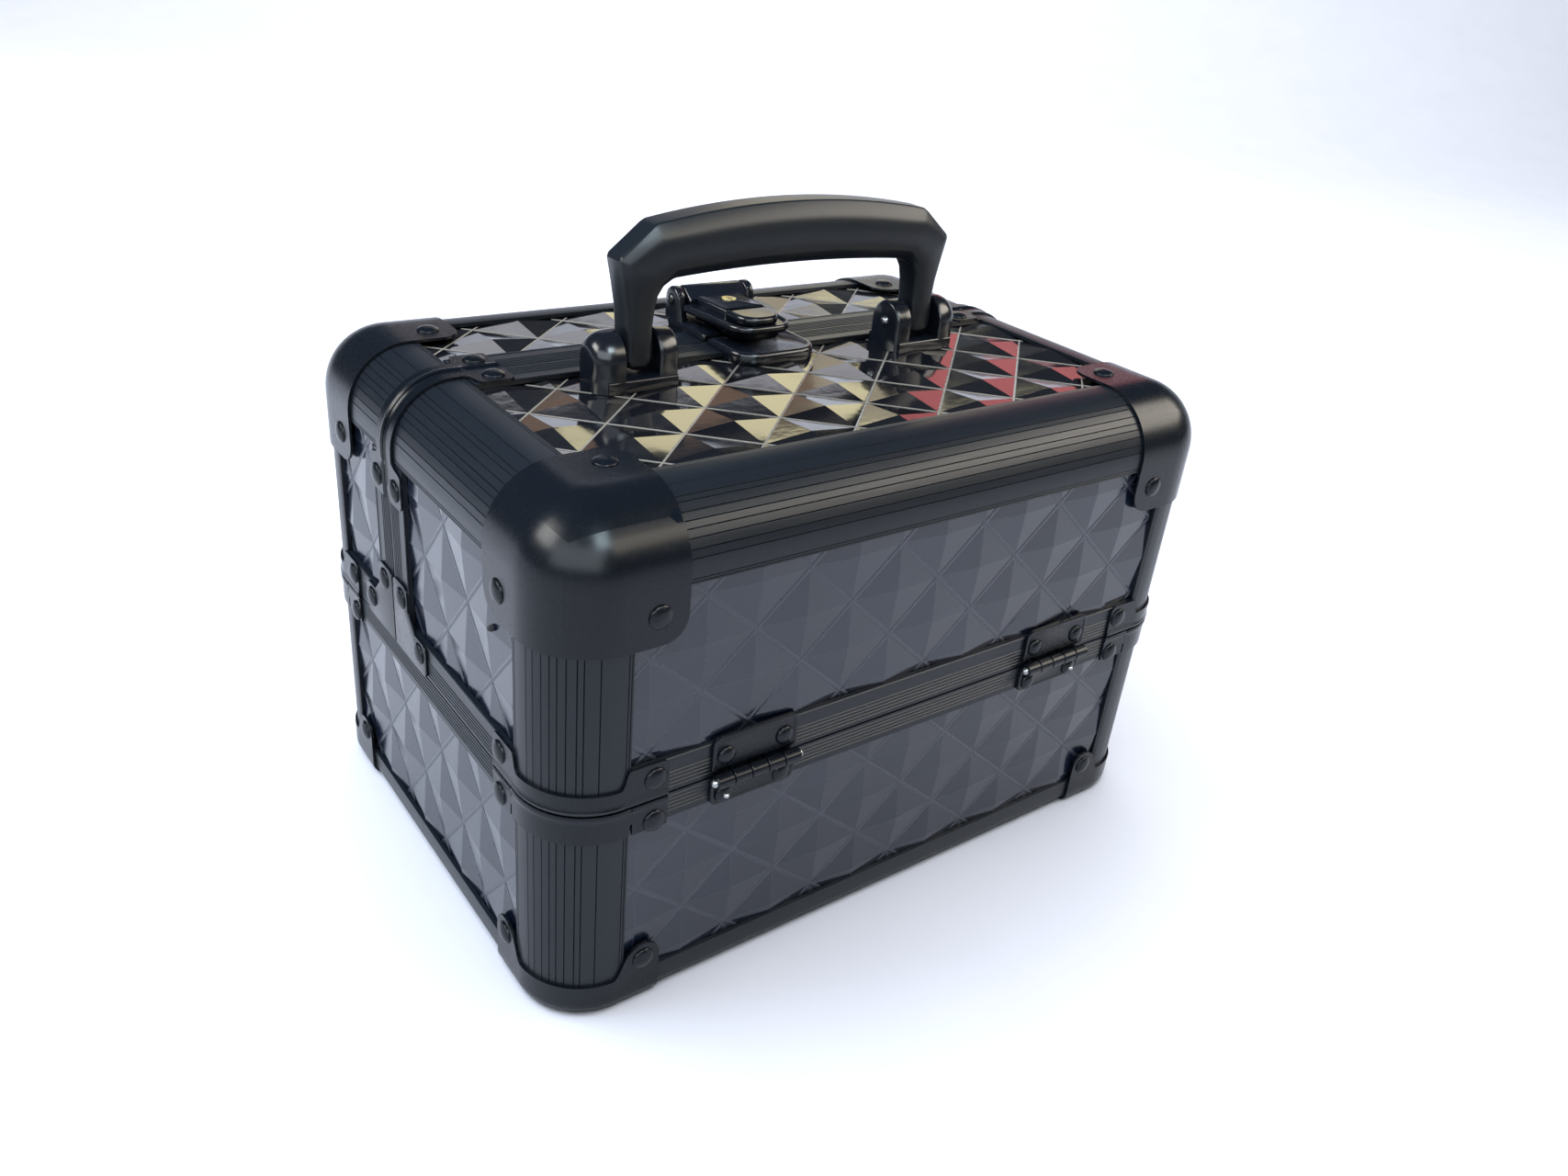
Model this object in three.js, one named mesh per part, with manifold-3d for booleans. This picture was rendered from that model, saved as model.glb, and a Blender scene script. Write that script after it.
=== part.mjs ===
// Makeup train case: a hard case with a deep base and two lids that open outward, front and rear.
// Units are millimetres, +Z is up, +X runs along the long side and the front faces -Y.
// The origin is on the floor, at the centre of the case.
import * as THREE from "three";
import { RoundedBoxGeometry } from "three/addons/geometries/RoundedBoxGeometry.js";
import { mergeVertices } from "three/addons/utils/BufferGeometryUtils.js";
import Module from "manifold-3d";

const wasm = await Module();
wasm.setup();

// ---------------------------------------------------------------- driving dimensions
// The case, over the outer faces of its aluminium edges.
const CASE_LENGTH = 300;
const CASE_DEPTH = 210;
const CASE_HEIGHT = 193;
const SEAM_Z = 89; // height of the parting line between base and lids
const SEAM_Y = 23.6; // the two lids meet behind the middle of the case
const SEAM_GAP = 0.4; // each side of a parting line
const GAP = 0.3; // between pieces that touch
const FLOOR_CLEARANCE = 1.4; // the base frame stands on its corner caps

// Aluminium edge extrusions, rims and panels.
const EDGE_RADIUS = 24;
const EDGE_SPAN = 27.5; // from the sharp corner to the edge of a flange
const EDGE_WALL = 1.6;
const RIM_INSET = 8; // how far a rim plate reaches inward
const RIM_PLATE = 2;
const BASE_RIM_HEIGHT = 10;
const LID_RIM_HEIGHT = 14;
const BOTTOM_FRAME_HEIGHT = 11;
const PANEL_RECESS = 2.2;
const PANEL_THICKNESS = 3;
const PANEL_EDGE = 21; // a panel ends this far from the sharp corner, under the flange

// Corner caps are pressed steel shells that stand proud of the extrusions.
const CAP_PROUD = 1.1;
const BALL_SPAN = 43.6;
const BALL_RIVET = 35;
const CAP_SPAN = 41;
const CAP_LOW = 14;
const CAP_HIGH = 26;
const CAP_RIVET = { along: 34.3, z: 19.5 };
const RIVET_RADIUS = 4.2;
const RIVET_HEIGHT = 1.7;

// Hinges on the front and back faces.
const HINGE_X = 74.5;
const HINGE_WIDTH = 35;
const HINGE_AXIS_OUT = 3.6;
const BARREL_RADIUS = 3;
const HINGE_PIN_RADIUS = 1.1;
const HINGE_BORE_RADIUS = 1.45;
const LEAF_THICKNESS = 1.2;
const LID_LEAF_TOP = SEAM_Z + 16.5;
const BASE_LEAF_BOTTOM = SEAM_Z - 11.5;
const HINGE_RIVET_X = 12;
const HINGE_RIVET_RADIUS = 3.6;
const KNUCKLES = 5;

// Carrying handle and its two clevis brackets, on the front lid.
const HANDLE_Y = -3;
const PIVOT_Z = 202.9;
const BRACKET_DEPTH = 20;
const BRACKET_INNER_X = 52.5;
const BRACKET_OUTER_X = 86;
const SLOT_X = [60.2, 74.8];
const BRIDGE_TOP = 195.5;
const CHEEK_TOP = 210.8;
const CHEEK_RADIUS = 7.5;
const HANDLE_PIN_RADIUS = 2;
const HANDLE_BORE_RADIUS = 2.4;
const LEG_X = [61.4, 73.4];
const LEG_DEPTH = 12;
const GRIP_DEPTH = 18;
const GRIP_TOP = 254.5;
const GRIP_UNDERSIDE = 231.5;
const SHOULDER_X = 76.5;
const SHOULDER_Z = 237;

// Latch on the top face, across the seam between the lids.
const LATCH_PIVOT = { y: 49.3, z: 203.7 };
const LATCH_BARREL_RADIUS = 5.2;
const LATCH_BARREL_X = 14.6;
const LATCH_PIN_RADIUS = 1.6;
const LATCH_BORE_RADIUS = 2;
const LATCH_PLATE_X = 19;
const LATCH_PLATE_TOP = 196;
const KEEPER_FRONT = -5;
const KEEPER_BACK = 20.4;
const HASP_TIP = 5.5;
const HASP_BOTTOM = 199.6;
const HASP_DECK = 202.6;
const HASP_TOP = 205.6;
const BLOCK_X = 9.6;
const BLOCK_Y = [23.3, 44.6];
const TAB_Y = [8.4, 22.3];
const KEY_Y = 35.7;
const KEY_RADIUS = 3.2;

// Cantilever tray under the front lid and its four link arms.
const TRAY_X = 136;
const TRAY_Y = [-87, 15.5];
const TRAY_Z = [77, 105];
const TRAY_WALL = 2;
const ARM_LENGTH = 62;
const ARM_TILT = THREE.MathUtils.degToRad(80); // from upright, toward the middle of the case
const ARM_WIDTH = 8;
const ARM_X = { front: [138.2, 139.6], rear: [140, 141.4] };
const ARM_PIVOTS_Y = { front: -78, rear: -50 };
const ARM_PIVOT_Z = 73;
const ARM_STUD_RADIUS = 1.5;
const ARM_HOLE_RADIUS = 1.9;

const ARC = 4; // curve divisions; an arc takes twice as many
const HALF_LENGTH = CASE_LENGTH / 2;
const HALF_DEPTH = CASE_DEPTH / 2;
const TAU = Math.PI * 2;

// ---------------------------------------------------------------- materials
const finish = (color, roughness, metalness) => ({ color, roughness, metalness });
const ANODISED = finish(0x141518, 0.38, 0.9);
const PRESSED_STEEL = finish(0x121316, 0.32, 0.8);
const ABS_PANEL = finish(0x1d2027, 0.22, 0.1);
const MOULDED = finish(0x16181b, 0.42, 0.0);
const GLOSS_BLACK = finish(0x08090b, 0.14, 0.5);
const BRASS = finish(0xb08a3e, 0.3, 1.0);
const TRAY_FINISH = finish(0x1a1a1d, 0.6, 0.0);

// ---------------------------------------------------------------- solids
function toSolid(geometry) {
  const bare = geometry.clone();
  bare.deleteAttribute("normal");
  bare.deleteAttribute("uv");
  const merged = mergeVertices(bare, 1e-4);
  return new wasm.Manifold(
    new wasm.Mesh({
      numProp: 3,
      vertProperties: new Float32Array(merged.attributes.position.array),
      triVerts: new Uint32Array(merged.index.array),
    }),
  );
}

function toGeometry(solid) {
  const mesh = solid.getMesh();
  const geometry = new THREE.BufferGeometry();
  geometry.setAttribute("position", new THREE.BufferAttribute(mesh.vertProperties, 3));
  geometry.setIndex(new THREE.BufferAttribute(mesh.triVerts, 1));
  return geometry;
}

const union = (solids) => solids.reduce((whole, next) => whole.add(next));

function box([x0, x1], [y0, y1], [z0, z1]) {
  const geometry = new THREE.BoxGeometry(x1 - x0, y1 - y0, z1 - z0);
  geometry.translate((x0 + x1) / 2, (y0 + y1) / 2, (z0 + z1) / 2);
  return toSolid(geometry);
}

function extrude(shape, depth) {
  return new THREE.ExtrudeGeometry(shape, { depth, bevelEnabled: false, curveSegments: ARC });
}

// A shape drawn in (x, y), raised from z0 to z1.
function prismZ(shape, [z0, z1]) {
  return toSolid(extrude(shape, z1 - z0).translate(0, 0, z0));
}

// A shape drawn in (x, z), run from y0 to y1.
function prismY(shape, [y0, y1]) {
  return toSolid(extrude(shape, y1 - y0).rotateX(Math.PI / 2).translate(0, y1, 0));
}

// A shape drawn in (y, z), run from x0 to x1.
function prismX(shape, [x0, x1]) {
  return toSolid(extrude(shape, x1 - x0).rotateX(Math.PI / 2).rotateZ(Math.PI / 2).translate(x0, 0, 0));
}

function rodX(radius, [x0, x1], y, z, sides = 16) {
  const geometry = new THREE.CylinderGeometry(radius, radius, x1 - x0, sides);
  return toSolid(geometry.rotateZ(Math.PI / 2).translate((x0 + x1) / 2, y, z));
}

function rodZ(radius, [z0, z1], x, y, sides = 16) {
  const geometry = new THREE.CylinderGeometry(radius, radius, z1 - z0, sides);
  return toSolid(geometry.rotateX(Math.PI / 2).translate(x, y, (z0 + z1) / 2));
}

function roundedRect([x0, x1], [y0, y1], radius) {
  const shape = new THREE.Shape();
  shape.moveTo(x0 + radius, y0);
  shape.lineTo(x1 - radius, y0);
  shape.absarc(x1 - radius, y0 + radius, radius, -TAU / 4, 0, false);
  shape.lineTo(x1, y1 - radius);
  shape.absarc(x1 - radius, y1 - radius, radius, 0, TAU / 4, false);
  shape.lineTo(x0 + radius, y1);
  shape.absarc(x0 + radius, y1 - radius, radius, TAU / 4, TAU / 2, false);
  shape.lineTo(x0, y0 + radius);
  shape.absarc(x0 + radius, y0 + radius, radius, TAU / 2, 0.75 * TAU, false);
  return shape;
}

// The plan outline of the case, drawn in from its outer faces by inset.
function plan(inset) {
  const x = HALF_LENGTH - inset;
  const y = HALF_DEPTH - inset;
  return roundedRect([-x, x], [-y, y], EDGE_RADIUS - inset);
}

function planRing(inset, innerInset, zRange) {
  return prismZ(plan(inset), zRange).subtract(prismZ(plan(innerInset), [zRange[0] - 1, zRange[1] + 1]));
}

// A domed rivet head that stands on the face z = 0 and is rooted slightly below it.
function rivetHead(radius = RIVET_RADIUS, height = RIVET_HEIGHT) {
  const root = 0.5;
  const profile = [new THREE.Vector2(0, -root), new THREE.Vector2(radius, -root), new THREE.Vector2(radius, 0.3)];
  for (const turn of [0.4, 0.75, 1]) {
    const angle = (turn * TAU) / 4;
    profile.push(new THREE.Vector2(turn === 1 ? 0 : radius * Math.cos(angle), 0.3 + (height - 0.3) * Math.sin(angle)));
  }
  return new THREE.LatheGeometry(profile, 12).rotateX(Math.PI / 2);
}

const rivetUp = (x, y, z) => toSolid(rivetHead().translate(x, y, z));
const rivetFront = (x, y, z, radius, height) =>
  toSolid(rivetHead(radius, height).rotateX(Math.PI / 2).translate(x, y, z));
const rivetLeft = (x, y, z) => toSolid(rivetHead().rotateY(-Math.PI / 2).translate(x, y, z));

function piece(name, solid, look) {
  const mesh = new THREE.Mesh(toGeometry(solid), new THREE.MeshStandardMaterial(look));
  mesh.name = name;
  return mesh;
}

// ---------------------------------------------------------------- edge extrusions
// A quarter-round section with two flanges, its sharp corner at (0, 0), opening toward +x and +y.
function edgeSection() {
  const inner = EDGE_RADIUS - EDGE_WALL;
  const shape = new THREE.Shape();
  shape.moveTo(0, EDGE_SPAN);
  shape.lineTo(0, EDGE_RADIUS);
  shape.absarc(EDGE_RADIUS, EDGE_RADIUS, EDGE_RADIUS, TAU / 2, 0.75 * TAU, false);
  shape.lineTo(EDGE_SPAN, 0);
  shape.lineTo(EDGE_SPAN, EDGE_WALL);
  shape.lineTo(EDGE_RADIUS, EDGE_WALL);
  shape.absarc(EDGE_RADIUS, EDGE_RADIUS, inner, 0.75 * TAU, TAU / 2, true);
  shape.lineTo(EDGE_WALL, EDGE_SPAN);
  return shape;
}

// Corners of the plan, each with the turn that aims a front-left piece into it.
const CORNERS = {
  front_left: { x: -HALF_LENGTH, y: -HALF_DEPTH, turn: 0 },
  front_right: { x: HALF_LENGTH, y: -HALF_DEPTH, turn: TAU / 4 },
  back_right: { x: HALF_LENGTH, y: HALF_DEPTH, turn: TAU / 2 },
  back_left: { x: -HALF_LENGTH, y: HALF_DEPTH, turn: -TAU / 4 },
};

function atCorner(mesh, { x, y, turn }, z = 0) {
  mesh.position.set(x, y, z);
  mesh.rotation.z = turn;
  return mesh;
}

// ---------------------------------------------------------------- corner caps
// Ball corner in its own frame: the sharp corner of the case is (0, 0, 0), the case lies toward +x, +y and -z.
function ballCorner() {
  const far = 120;
  const shell = (proud) => {
    const size = far + proud;
    const centre = (far - proud) / 2;
    const geometry = new RoundedBoxGeometry(size, size, size, ARC, EDGE_RADIUS + proud);
    return toSolid(geometry.translate(centre, centre, -centre));
  };
  const outline = roundedRect([-10, BALL_SPAN], [-10, BALL_SPAN], BALL_SPAN - BALL_RIVET);
  const down = roundedRect([-10, BALL_SPAN], [-BALL_SPAN, 10], BALL_SPAN - BALL_RIVET);
  const trimmed = shell(CAP_PROUD)
    .subtract(shell(GAP))
    .intersect(prismZ(outline, [-BALL_SPAN, 10]))
    .intersect(prismY(down, [-10, BALL_SPAN]))
    .intersect(prismX(down, [-10, BALL_SPAN]));
  return union([
    trimmed,
    rivetUp(BALL_RIVET, BALL_RIVET, CAP_PROUD),
    rivetFront(BALL_RIVET, -CAP_PROUD, -BALL_RIVET),
    rivetLeft(-CAP_PROUD, BALL_RIVET, -BALL_RIVET),
  ]);
}

// Bottom cap in its own frame: the corner of the case is (0, 0), the case lies toward +x and +y, the floor is z = 0.
function bottomCap() {
  const far = 120;
  const fillet = 2.4;
  const solid = (proud, bottom, bevel) => {
    const shape = roundedRect([bevel - proud, far], [bevel - proud, far], EDGE_RADIUS + proud - bevel);
    const geometry = new THREE.ExtrudeGeometry(shape, {
      depth: 40,
      bevelEnabled: bevel > 0,
      bevelSize: bevel,
      bevelThickness: bevel,
      bevelSegments: 3,
      curveSegments: ARC,
    });
    return toSolid(geometry.translate(0, 0, bottom + bevel));
  };
  const cavity = solid(GAP, CAP_PROUD, 0);
  const corner = box([-10, EDGE_SPAN], [-10, EDGE_SPAN], [CAP_LOW, CAP_HIGH + 1]);
  const shell = solid(CAP_PROUD, 0, fillet)
    .subtract(cavity)
    .intersect(box([-10, CAP_SPAN], [-10, CAP_SPAN], [-1, CAP_HIGH]))
    .subtract(corner);
  return union([
    shell,
    rivetFront(CAP_RIVET.along, -CAP_PROUD, CAP_RIVET.z),
    rivetLeft(-CAP_PROUD, CAP_RIVET.along, CAP_RIVET.z),
  ]);
}

// ---------------------------------------------------------------- base
function basePanels() {
  const bottom = FLOOR_CLEARANCE + 1.5;
  const z = [bottom, SEAM_Z - SEAM_GAP - RIM_PLATE - GAP];
  const x = HALF_LENGTH - PANEL_EDGE;
  const y = HALF_DEPTH - PANEL_EDGE;
  const outerX = HALF_LENGTH - PANEL_RECESS;
  const outerY = HALF_DEPTH - PANEL_RECESS;
  const armHoles = (side) =>
    union(
      Object.values(ARM_PIVOTS_Y).map((pivotY) =>
        rodX(ARM_HOLE_RADIUS, side < 0 ? [-outerX + 0.5, -outerX + 9] : [outerX - 9, outerX - 0.5], pivotY, ARM_PIVOT_Z),
      ),
    );
  return [
    piece("base_floor", prismZ(plan(6), [bottom, bottom + 3.5]), ABS_PANEL),
    piece("base_front_panel", box([-x, x], [-outerY, -outerY + PANEL_THICKNESS], z), ABS_PANEL),
    piece("base_back_panel", box([-x, x], [outerY - PANEL_THICKNESS, outerY], z), ABS_PANEL),
    piece(
      "base_left_panel",
      box([-outerX, -outerX + PANEL_THICKNESS], [-y, y], z).subtract(armHoles(-1)),
      ABS_PANEL,
    ),
    piece(
      "base_right_panel",
      box([outerX - PANEL_THICKNESS, outerX], [-y, y], z).subtract(armHoles(1)),
      ABS_PANEL,
    ),
  ];
}

function baseFrames() {
  const bottomTop = FLOOR_CLEARANCE + BOTTOM_FRAME_HEIGHT;
  const bottomFrame = planRing(0, EDGE_WALL, [FLOOR_CLEARANCE, bottomTop]).add(
    planRing(0, 12, [FLOOR_CLEARANCE, FLOOR_CLEARANCE + 1.2]),
  );
  const plateBottom = SEAM_Z - SEAM_GAP - RIM_PLATE;
  const clear = EDGE_SPAN + 0.4;
  const straight = (zRange) =>
    union([
      box([clear - HALF_LENGTH, HALF_LENGTH - clear], [-HALF_DEPTH - 1, HALF_DEPTH + 1], zRange),
      box([-HALF_LENGTH - 1, HALF_LENGTH + 1], [clear - HALF_DEPTH, HALF_DEPTH - clear], zRange),
    ]);
  const flangeZ = [SEAM_Z - SEAM_GAP - BASE_RIM_HEIGHT, plateBottom + 0.5];
  const rimFrame = planRing(0, RIM_INSET, [plateBottom, SEAM_Z - SEAM_GAP]).add(
    planRing(0, EDGE_WALL, flangeZ).intersect(straight(flangeZ)),
  );
  const meshes = [piece("base_bottom_frame", bottomFrame, ANODISED), piece("base_rim_frame", rimFrame, ANODISED)];
  const postHeight = [bottomTop + GAP, plateBottom - GAP];
  for (const [corner, place] of Object.entries(CORNERS)) {
    meshes.push(atCorner(piece(`base_post_${corner}`, prismZ(edgeSection(), postHeight), ANODISED), place));
    meshes.push(atCorner(piece(`base_corner_cap_${corner}`, bottomCap(), PRESSED_STEEL), place));
  }
  return meshes;
}

// ---------------------------------------------------------------- lids
// A lid in the frame of the front lid: its outer face is at -HALF_DEPTH and its seam is depth behind that.
function lidRim(depth) {
  const seam = depth - HALF_DEPTH - SEAM_GAP;
  const bottom = SEAM_Z + SEAM_GAP;
  const clear = EDGE_SPAN + 0.4;
  const cornerFree = HALF_LENGTH - clear;
  const flangeY = [seam - LID_RIM_HEIGHT, seam];
  const forward = box([-HALF_LENGTH - 1, HALF_LENGTH + 1], [-HALF_DEPTH - 1, seam], [0, CASE_HEIGHT + 1]);

  const lowerFlange = planRing(0, EDGE_WALL, [bottom, bottom + LID_RIM_HEIGHT]).intersect(
    union([
      box([-cornerFree, cornerFree], [-HALF_DEPTH - 1, 0], [0, CASE_HEIGHT]),
      box([-HALF_LENGTH - 1, HALF_LENGTH + 1], [clear - HALF_DEPTH, seam], [0, CASE_HEIGHT]),
    ]),
  );
  const lower = planRing(0, RIM_INSET, [bottom, bottom + RIM_PLATE]).add(lowerFlange).intersect(forward);

  const arch = (inset) =>
    roundedRect(
      [inset - HALF_LENGTH, HALF_LENGTH - inset],
      [bottom - 60, CASE_HEIGHT - inset],
      EDGE_RADIUS - inset,
    );
  const archRing = (inner, yRange) =>
    prismY(arch(0), yRange).subtract(prismY(arch(inner), [yRange[0] - 1, yRange[1] + 1]));
  const sideReach = [bottom, CASE_HEIGHT - clear];
  const seamFlange = archRing(EDGE_WALL, flangeY).intersect(
    union([
      box([-cornerFree, cornerFree], flangeY, [bottom, CASE_HEIGHT + 1]),
      box([-HALF_LENGTH - 1, HALF_LENGTH + 1], flangeY, sideReach),
    ]),
  );
  const above = box([-HALF_LENGTH - 1, HALF_LENGTH + 1], [-HALF_DEPTH, HALF_DEPTH], [bottom, CASE_HEIGHT + 1]);
  const upper = archRing(RIM_INSET, [seam - RIM_PLATE, seam]).add(seamFlange).intersect(above);
  return lower.add(upper);
}

// The edge section turned about its corner by turn and run for length along +z.
const edgeRun = (length, turn) => extrude(edgeSection(), length).rotateZ(turn);

function topEdges(prefix, seam, left, right) {
  const start = EDGE_SPAN + GAP;
  const along = edgeRun(CASE_LENGTH - 2 * start, -TAU / 4).rotateX(TAU / 4).rotateZ(TAU / 4);
  along.translate(start - HALF_LENGTH, -HALF_DEPTH, CASE_HEIGHT);
  const back = seam - RIM_PLATE - GAP;
  const end = (sign) =>
    edgeRun(back - start + HALF_DEPTH, sign < 0 ? -TAU / 4 : TAU / 2)
      .rotateX(TAU / 4)
      .translate(sign * HALF_LENGTH, back, CASE_HEIGHT);
  return [
    piece(`${prefix}_top_edge`, toSolid(along), ANODISED),
    piece(`${prefix}_end_edge_${left}`, toSolid(end(-1)), ANODISED),
    piece(`${prefix}_end_edge_${right}`, toSolid(end(1)), ANODISED),
  ];
}

function lidPanels(prefix, seam, left, right) {
  const bottom = SEAM_Z + SEAM_GAP + RIM_PLATE + GAP;
  const x = HALF_LENGTH - PANEL_EDGE;
  const y = [PANEL_EDGE - HALF_DEPTH, seam - RIM_PLATE - GAP];
  const z = [bottom, CASE_HEIGHT - PANEL_EDGE];
  const outerX = HALF_LENGTH - PANEL_RECESS;
  const outerY = HALF_DEPTH - PANEL_RECESS;
  const outerZ = CASE_HEIGHT - PANEL_RECESS;
  return [
    piece(`${prefix}_top_panel`, box([-x, x], y, [outerZ - PANEL_THICKNESS, outerZ]), ABS_PANEL),
    piece(`${prefix}_face_panel`, box([-x, x], [-outerY, PANEL_THICKNESS - outerY], z), ABS_PANEL),
    piece(`${prefix}_${left}_panel`, box([-outerX, PANEL_THICKNESS - outerX], y, z), ABS_PANEL),
    piece(`${prefix}_${right}_panel`, box([outerX - PANEL_THICKNESS, outerX], y, z), ABS_PANEL),
  ];
}

function buildLid(prefix, depth, left, right) {
  const seam = depth - HALF_DEPTH - SEAM_GAP;
  const bottom = SEAM_Z + SEAM_GAP + RIM_PLATE + GAP;
  const group = new THREE.Group();
  group.add(piece(`${prefix}_rim`, lidRim(depth), ANODISED));
  group.add(...lidPanels(prefix, seam, left, right));
  group.add(...topEdges(prefix, seam, left, right));
  for (const [side, place] of [
    [left, CORNERS.front_left],
    [right, CORNERS.front_right],
  ]) {
    const post = prismZ(edgeSection(), [bottom, CASE_HEIGHT - EDGE_SPAN - GAP]);
    group.add(atCorner(piece(`${prefix}_post_${side}`, post, ANODISED), place));
    group.add(atCorner(piece(`${prefix}_ball_corner_${side}`, ballCorner(), PRESSED_STEEL), place, CASE_HEIGHT));
  }
  return group;
}

// ---------------------------------------------------------------- hinges
// One leaf of a butt hinge on the front face, centred on x = 0. Knuckles are shared out in turn:
// the base leaf has the odd ones and carries the pin, and the lid leaf has the even ones, bored for it.
function hingeLeaf(isLid) {
  const face = [-HALF_DEPTH - GAP - LEAF_THICKNESS, -HALF_DEPTH - GAP];
  const axisY = -HALF_DEPTH - HINGE_AXIS_OUT;
  const reach = BARREL_RADIUS + 0.6;
  const half = HINGE_WIDTH / 2;
  const plateZ = isLid ? [SEAM_Z + reach, LID_LEAF_TOP] : [BASE_LEAF_BOTTOM, SEAM_Z - reach];
  const neckZ = isLid ? [SEAM_Z, SEAM_Z + reach + 0.5] : [SEAM_Z - reach - 0.5, SEAM_Z];
  const solids = [box([-half, half], face, plateZ)];
  const bores = [];
  const pitch = HINGE_WIDTH / KNUCKLES;
  for (let index = isLid ? 1 : 0; index < KNUCKLES; index += 2) {
    const span = [index * pitch - half + 0.2, (index + 1) * pitch - half - 0.2];
    solids.push(box(span, face, neckZ), rodX(BARREL_RADIUS, span, axisY, SEAM_Z));
    bores.push(rodX(HINGE_BORE_RADIUS, [span[0] - 0.1, span[1] + 0.1], axisY, SEAM_Z, 12));
  }
  const rivetZ = isLid ? LID_LEAF_TOP - 8.2 : BASE_LEAF_BOTTOM + 3.9;
  for (const x of [-HINGE_RIVET_X, HINGE_RIVET_X]) {
    solids.push(rivetFront(x, face[0], rivetZ, HINGE_RIVET_RADIUS, 1.3));
  }
  const leaf = union(solids);
  if (isLid) return leaf.subtract(union(bores));
  return leaf.add(rodX(HINGE_PIN_RADIUS, [-half, half], axisY, SEAM_Z, 12));
}

function hinges(isLid, place, names) {
  const group = new THREE.Group();
  names.forEach((name, index) => {
    const mesh = piece(name, hingeLeaf(isLid), PRESSED_STEEL);
    mesh.position.x = index === 0 ? -HINGE_X : HINGE_X;
    group.add(mesh);
  });
  group.rotation.z = place === "back" ? TAU / 2 : 0;
  return group;
}

// ---------------------------------------------------------------- handle
const PANEL_TOP = CASE_HEIGHT - PANEL_RECESS + GAP;
const FLANGE_TOP = CASE_HEIGHT + GAP;

// The right-hand clevis bracket, its thick cheek outward, with the pivot pin fixed in it.
function handleBracket() {
  const y = [HANDLE_Y - BRACKET_DEPTH / 2, HANDLE_Y + BRACKET_DEPTH / 2];
  const cheek = roundedRect(y, [PANEL_TOP - 20, CHEEK_TOP], CHEEK_RADIUS);
  const bevel = 2.5;
  const outer = new THREE.ExtrudeGeometry(cheek, {
    depth: BRACKET_OUTER_X - SLOT_X[1] - bevel,
    bevelSize: bevel,
    bevelOffset: -bevel,
    bevelThickness: bevel,
    bevelSegments: 3,
    curveSegments: ARC,
  });
  const outerCheek = toSolid(outer.rotateX(TAU / 4).rotateZ(TAU / 4).translate(SLOT_X[1], 0, 0));
  const body = union([
    prismX(cheek, [BRACKET_INNER_X, SLOT_X[0]]),
    outerCheek.intersect(box([SLOT_X[1], BRACKET_OUTER_X + 1], [-50, 50], [0, 300])),
    box([BRACKET_INNER_X, BRACKET_OUTER_X - bevel], y, [PANEL_TOP, BRIDGE_TOP]),
    rodX(HANDLE_PIN_RADIUS, [BRACKET_INNER_X - 0.5, BRACKET_OUTER_X - 3], HANDLE_Y, PIVOT_Z),
  ]);
  return body.intersect(box([0, 200], [-50, 50], [PANEL_TOP, 300]));
}

// The handle's outline in (x, z): two legs with round feet on the pivots, chamfered shoulders and a crowned grip.
function handleOutline() {
  const legMiddle = (LEG_X[0] + LEG_X[1]) / 2;
  const legRadius = (LEG_X[1] - LEG_X[0]) / 2;
  const waist = 220;
  const gripEnd = { x: 62, z: 248.5 };
  const throat = { x: 52, z: 229.5 };
  const shape = new THREE.Shape();
  shape.moveTo(-LEG_X[1], PIVOT_Z);
  shape.absarc(-legMiddle, PIVOT_Z, legRadius, TAU / 2, TAU, false);
  shape.lineTo(-LEG_X[0], waist);
  shape.quadraticCurveTo(-LEG_X[0], throat.z, -throat.x, throat.z);
  shape.quadraticCurveTo(0, 2 * GRIP_UNDERSIDE - throat.z, throat.x, throat.z);
  shape.quadraticCurveTo(LEG_X[0], throat.z, LEG_X[0], waist);
  shape.lineTo(LEG_X[0], PIVOT_Z);
  shape.absarc(legMiddle, PIVOT_Z, legRadius, TAU / 2, TAU, false);
  shape.lineTo(LEG_X[1], waist);
  shape.lineTo(SHOULDER_X, SHOULDER_Z);
  shape.lineTo(gripEnd.x, gripEnd.z);
  shape.quadraticCurveTo(0, 2 * GRIP_TOP - gripEnd.z, -gripEnd.x, gripEnd.z);
  shape.lineTo(-SHOULDER_X, SHOULDER_Z);
  shape.lineTo(-LEG_X[1], waist);
  return shape;
}

function handleLayer(depth, bevel) {
  const geometry = new THREE.ExtrudeGeometry(handleOutline(), {
    depth: depth - 2 * bevel,
    bevelSize: bevel,
    bevelOffset: -bevel,
    bevelThickness: bevel,
    bevelSegments: 2,
    curveSegments: 6,
  });
  return toSolid(geometry.rotateX(TAU / 4).translate(0, HANDLE_Y + depth / 2 - bevel, 0));
}

function handle() {
  const grip = handleLayer(GRIP_DEPTH, 4).intersect(box([-100, 100], [-50, 50], [226, 300]));
  const bores = [-1, 1].map((side) =>
    rodX(HANDLE_BORE_RADIUS, side < 0 ? [-80, -55] : [55, 80], HANDLE_Y, PIVOT_Z, 12),
  );
  return handleLayer(LEG_DEPTH, 2.5).add(grip).subtract(union(bores));
}

// ---------------------------------------------------------------- latch
function latchKeeper() {
  const x = [-LATCH_PLATE_X - 0.5, LATCH_PLATE_X + 0.5];
  const flangeFront = SEAM_Y - SEAM_GAP - LID_RIM_HEIGHT - GAP;
  return prismZ(roundedRect(x, [KEEPER_FRONT, KEEPER_BACK], 3), [FLANGE_TOP, LATCH_PLATE_TOP]).add(
    prismZ(roundedRect(x, [KEEPER_FRONT, flangeFront], 3), [PANEL_TOP, FLANGE_TOP + 0.5]),
  );
}

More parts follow.
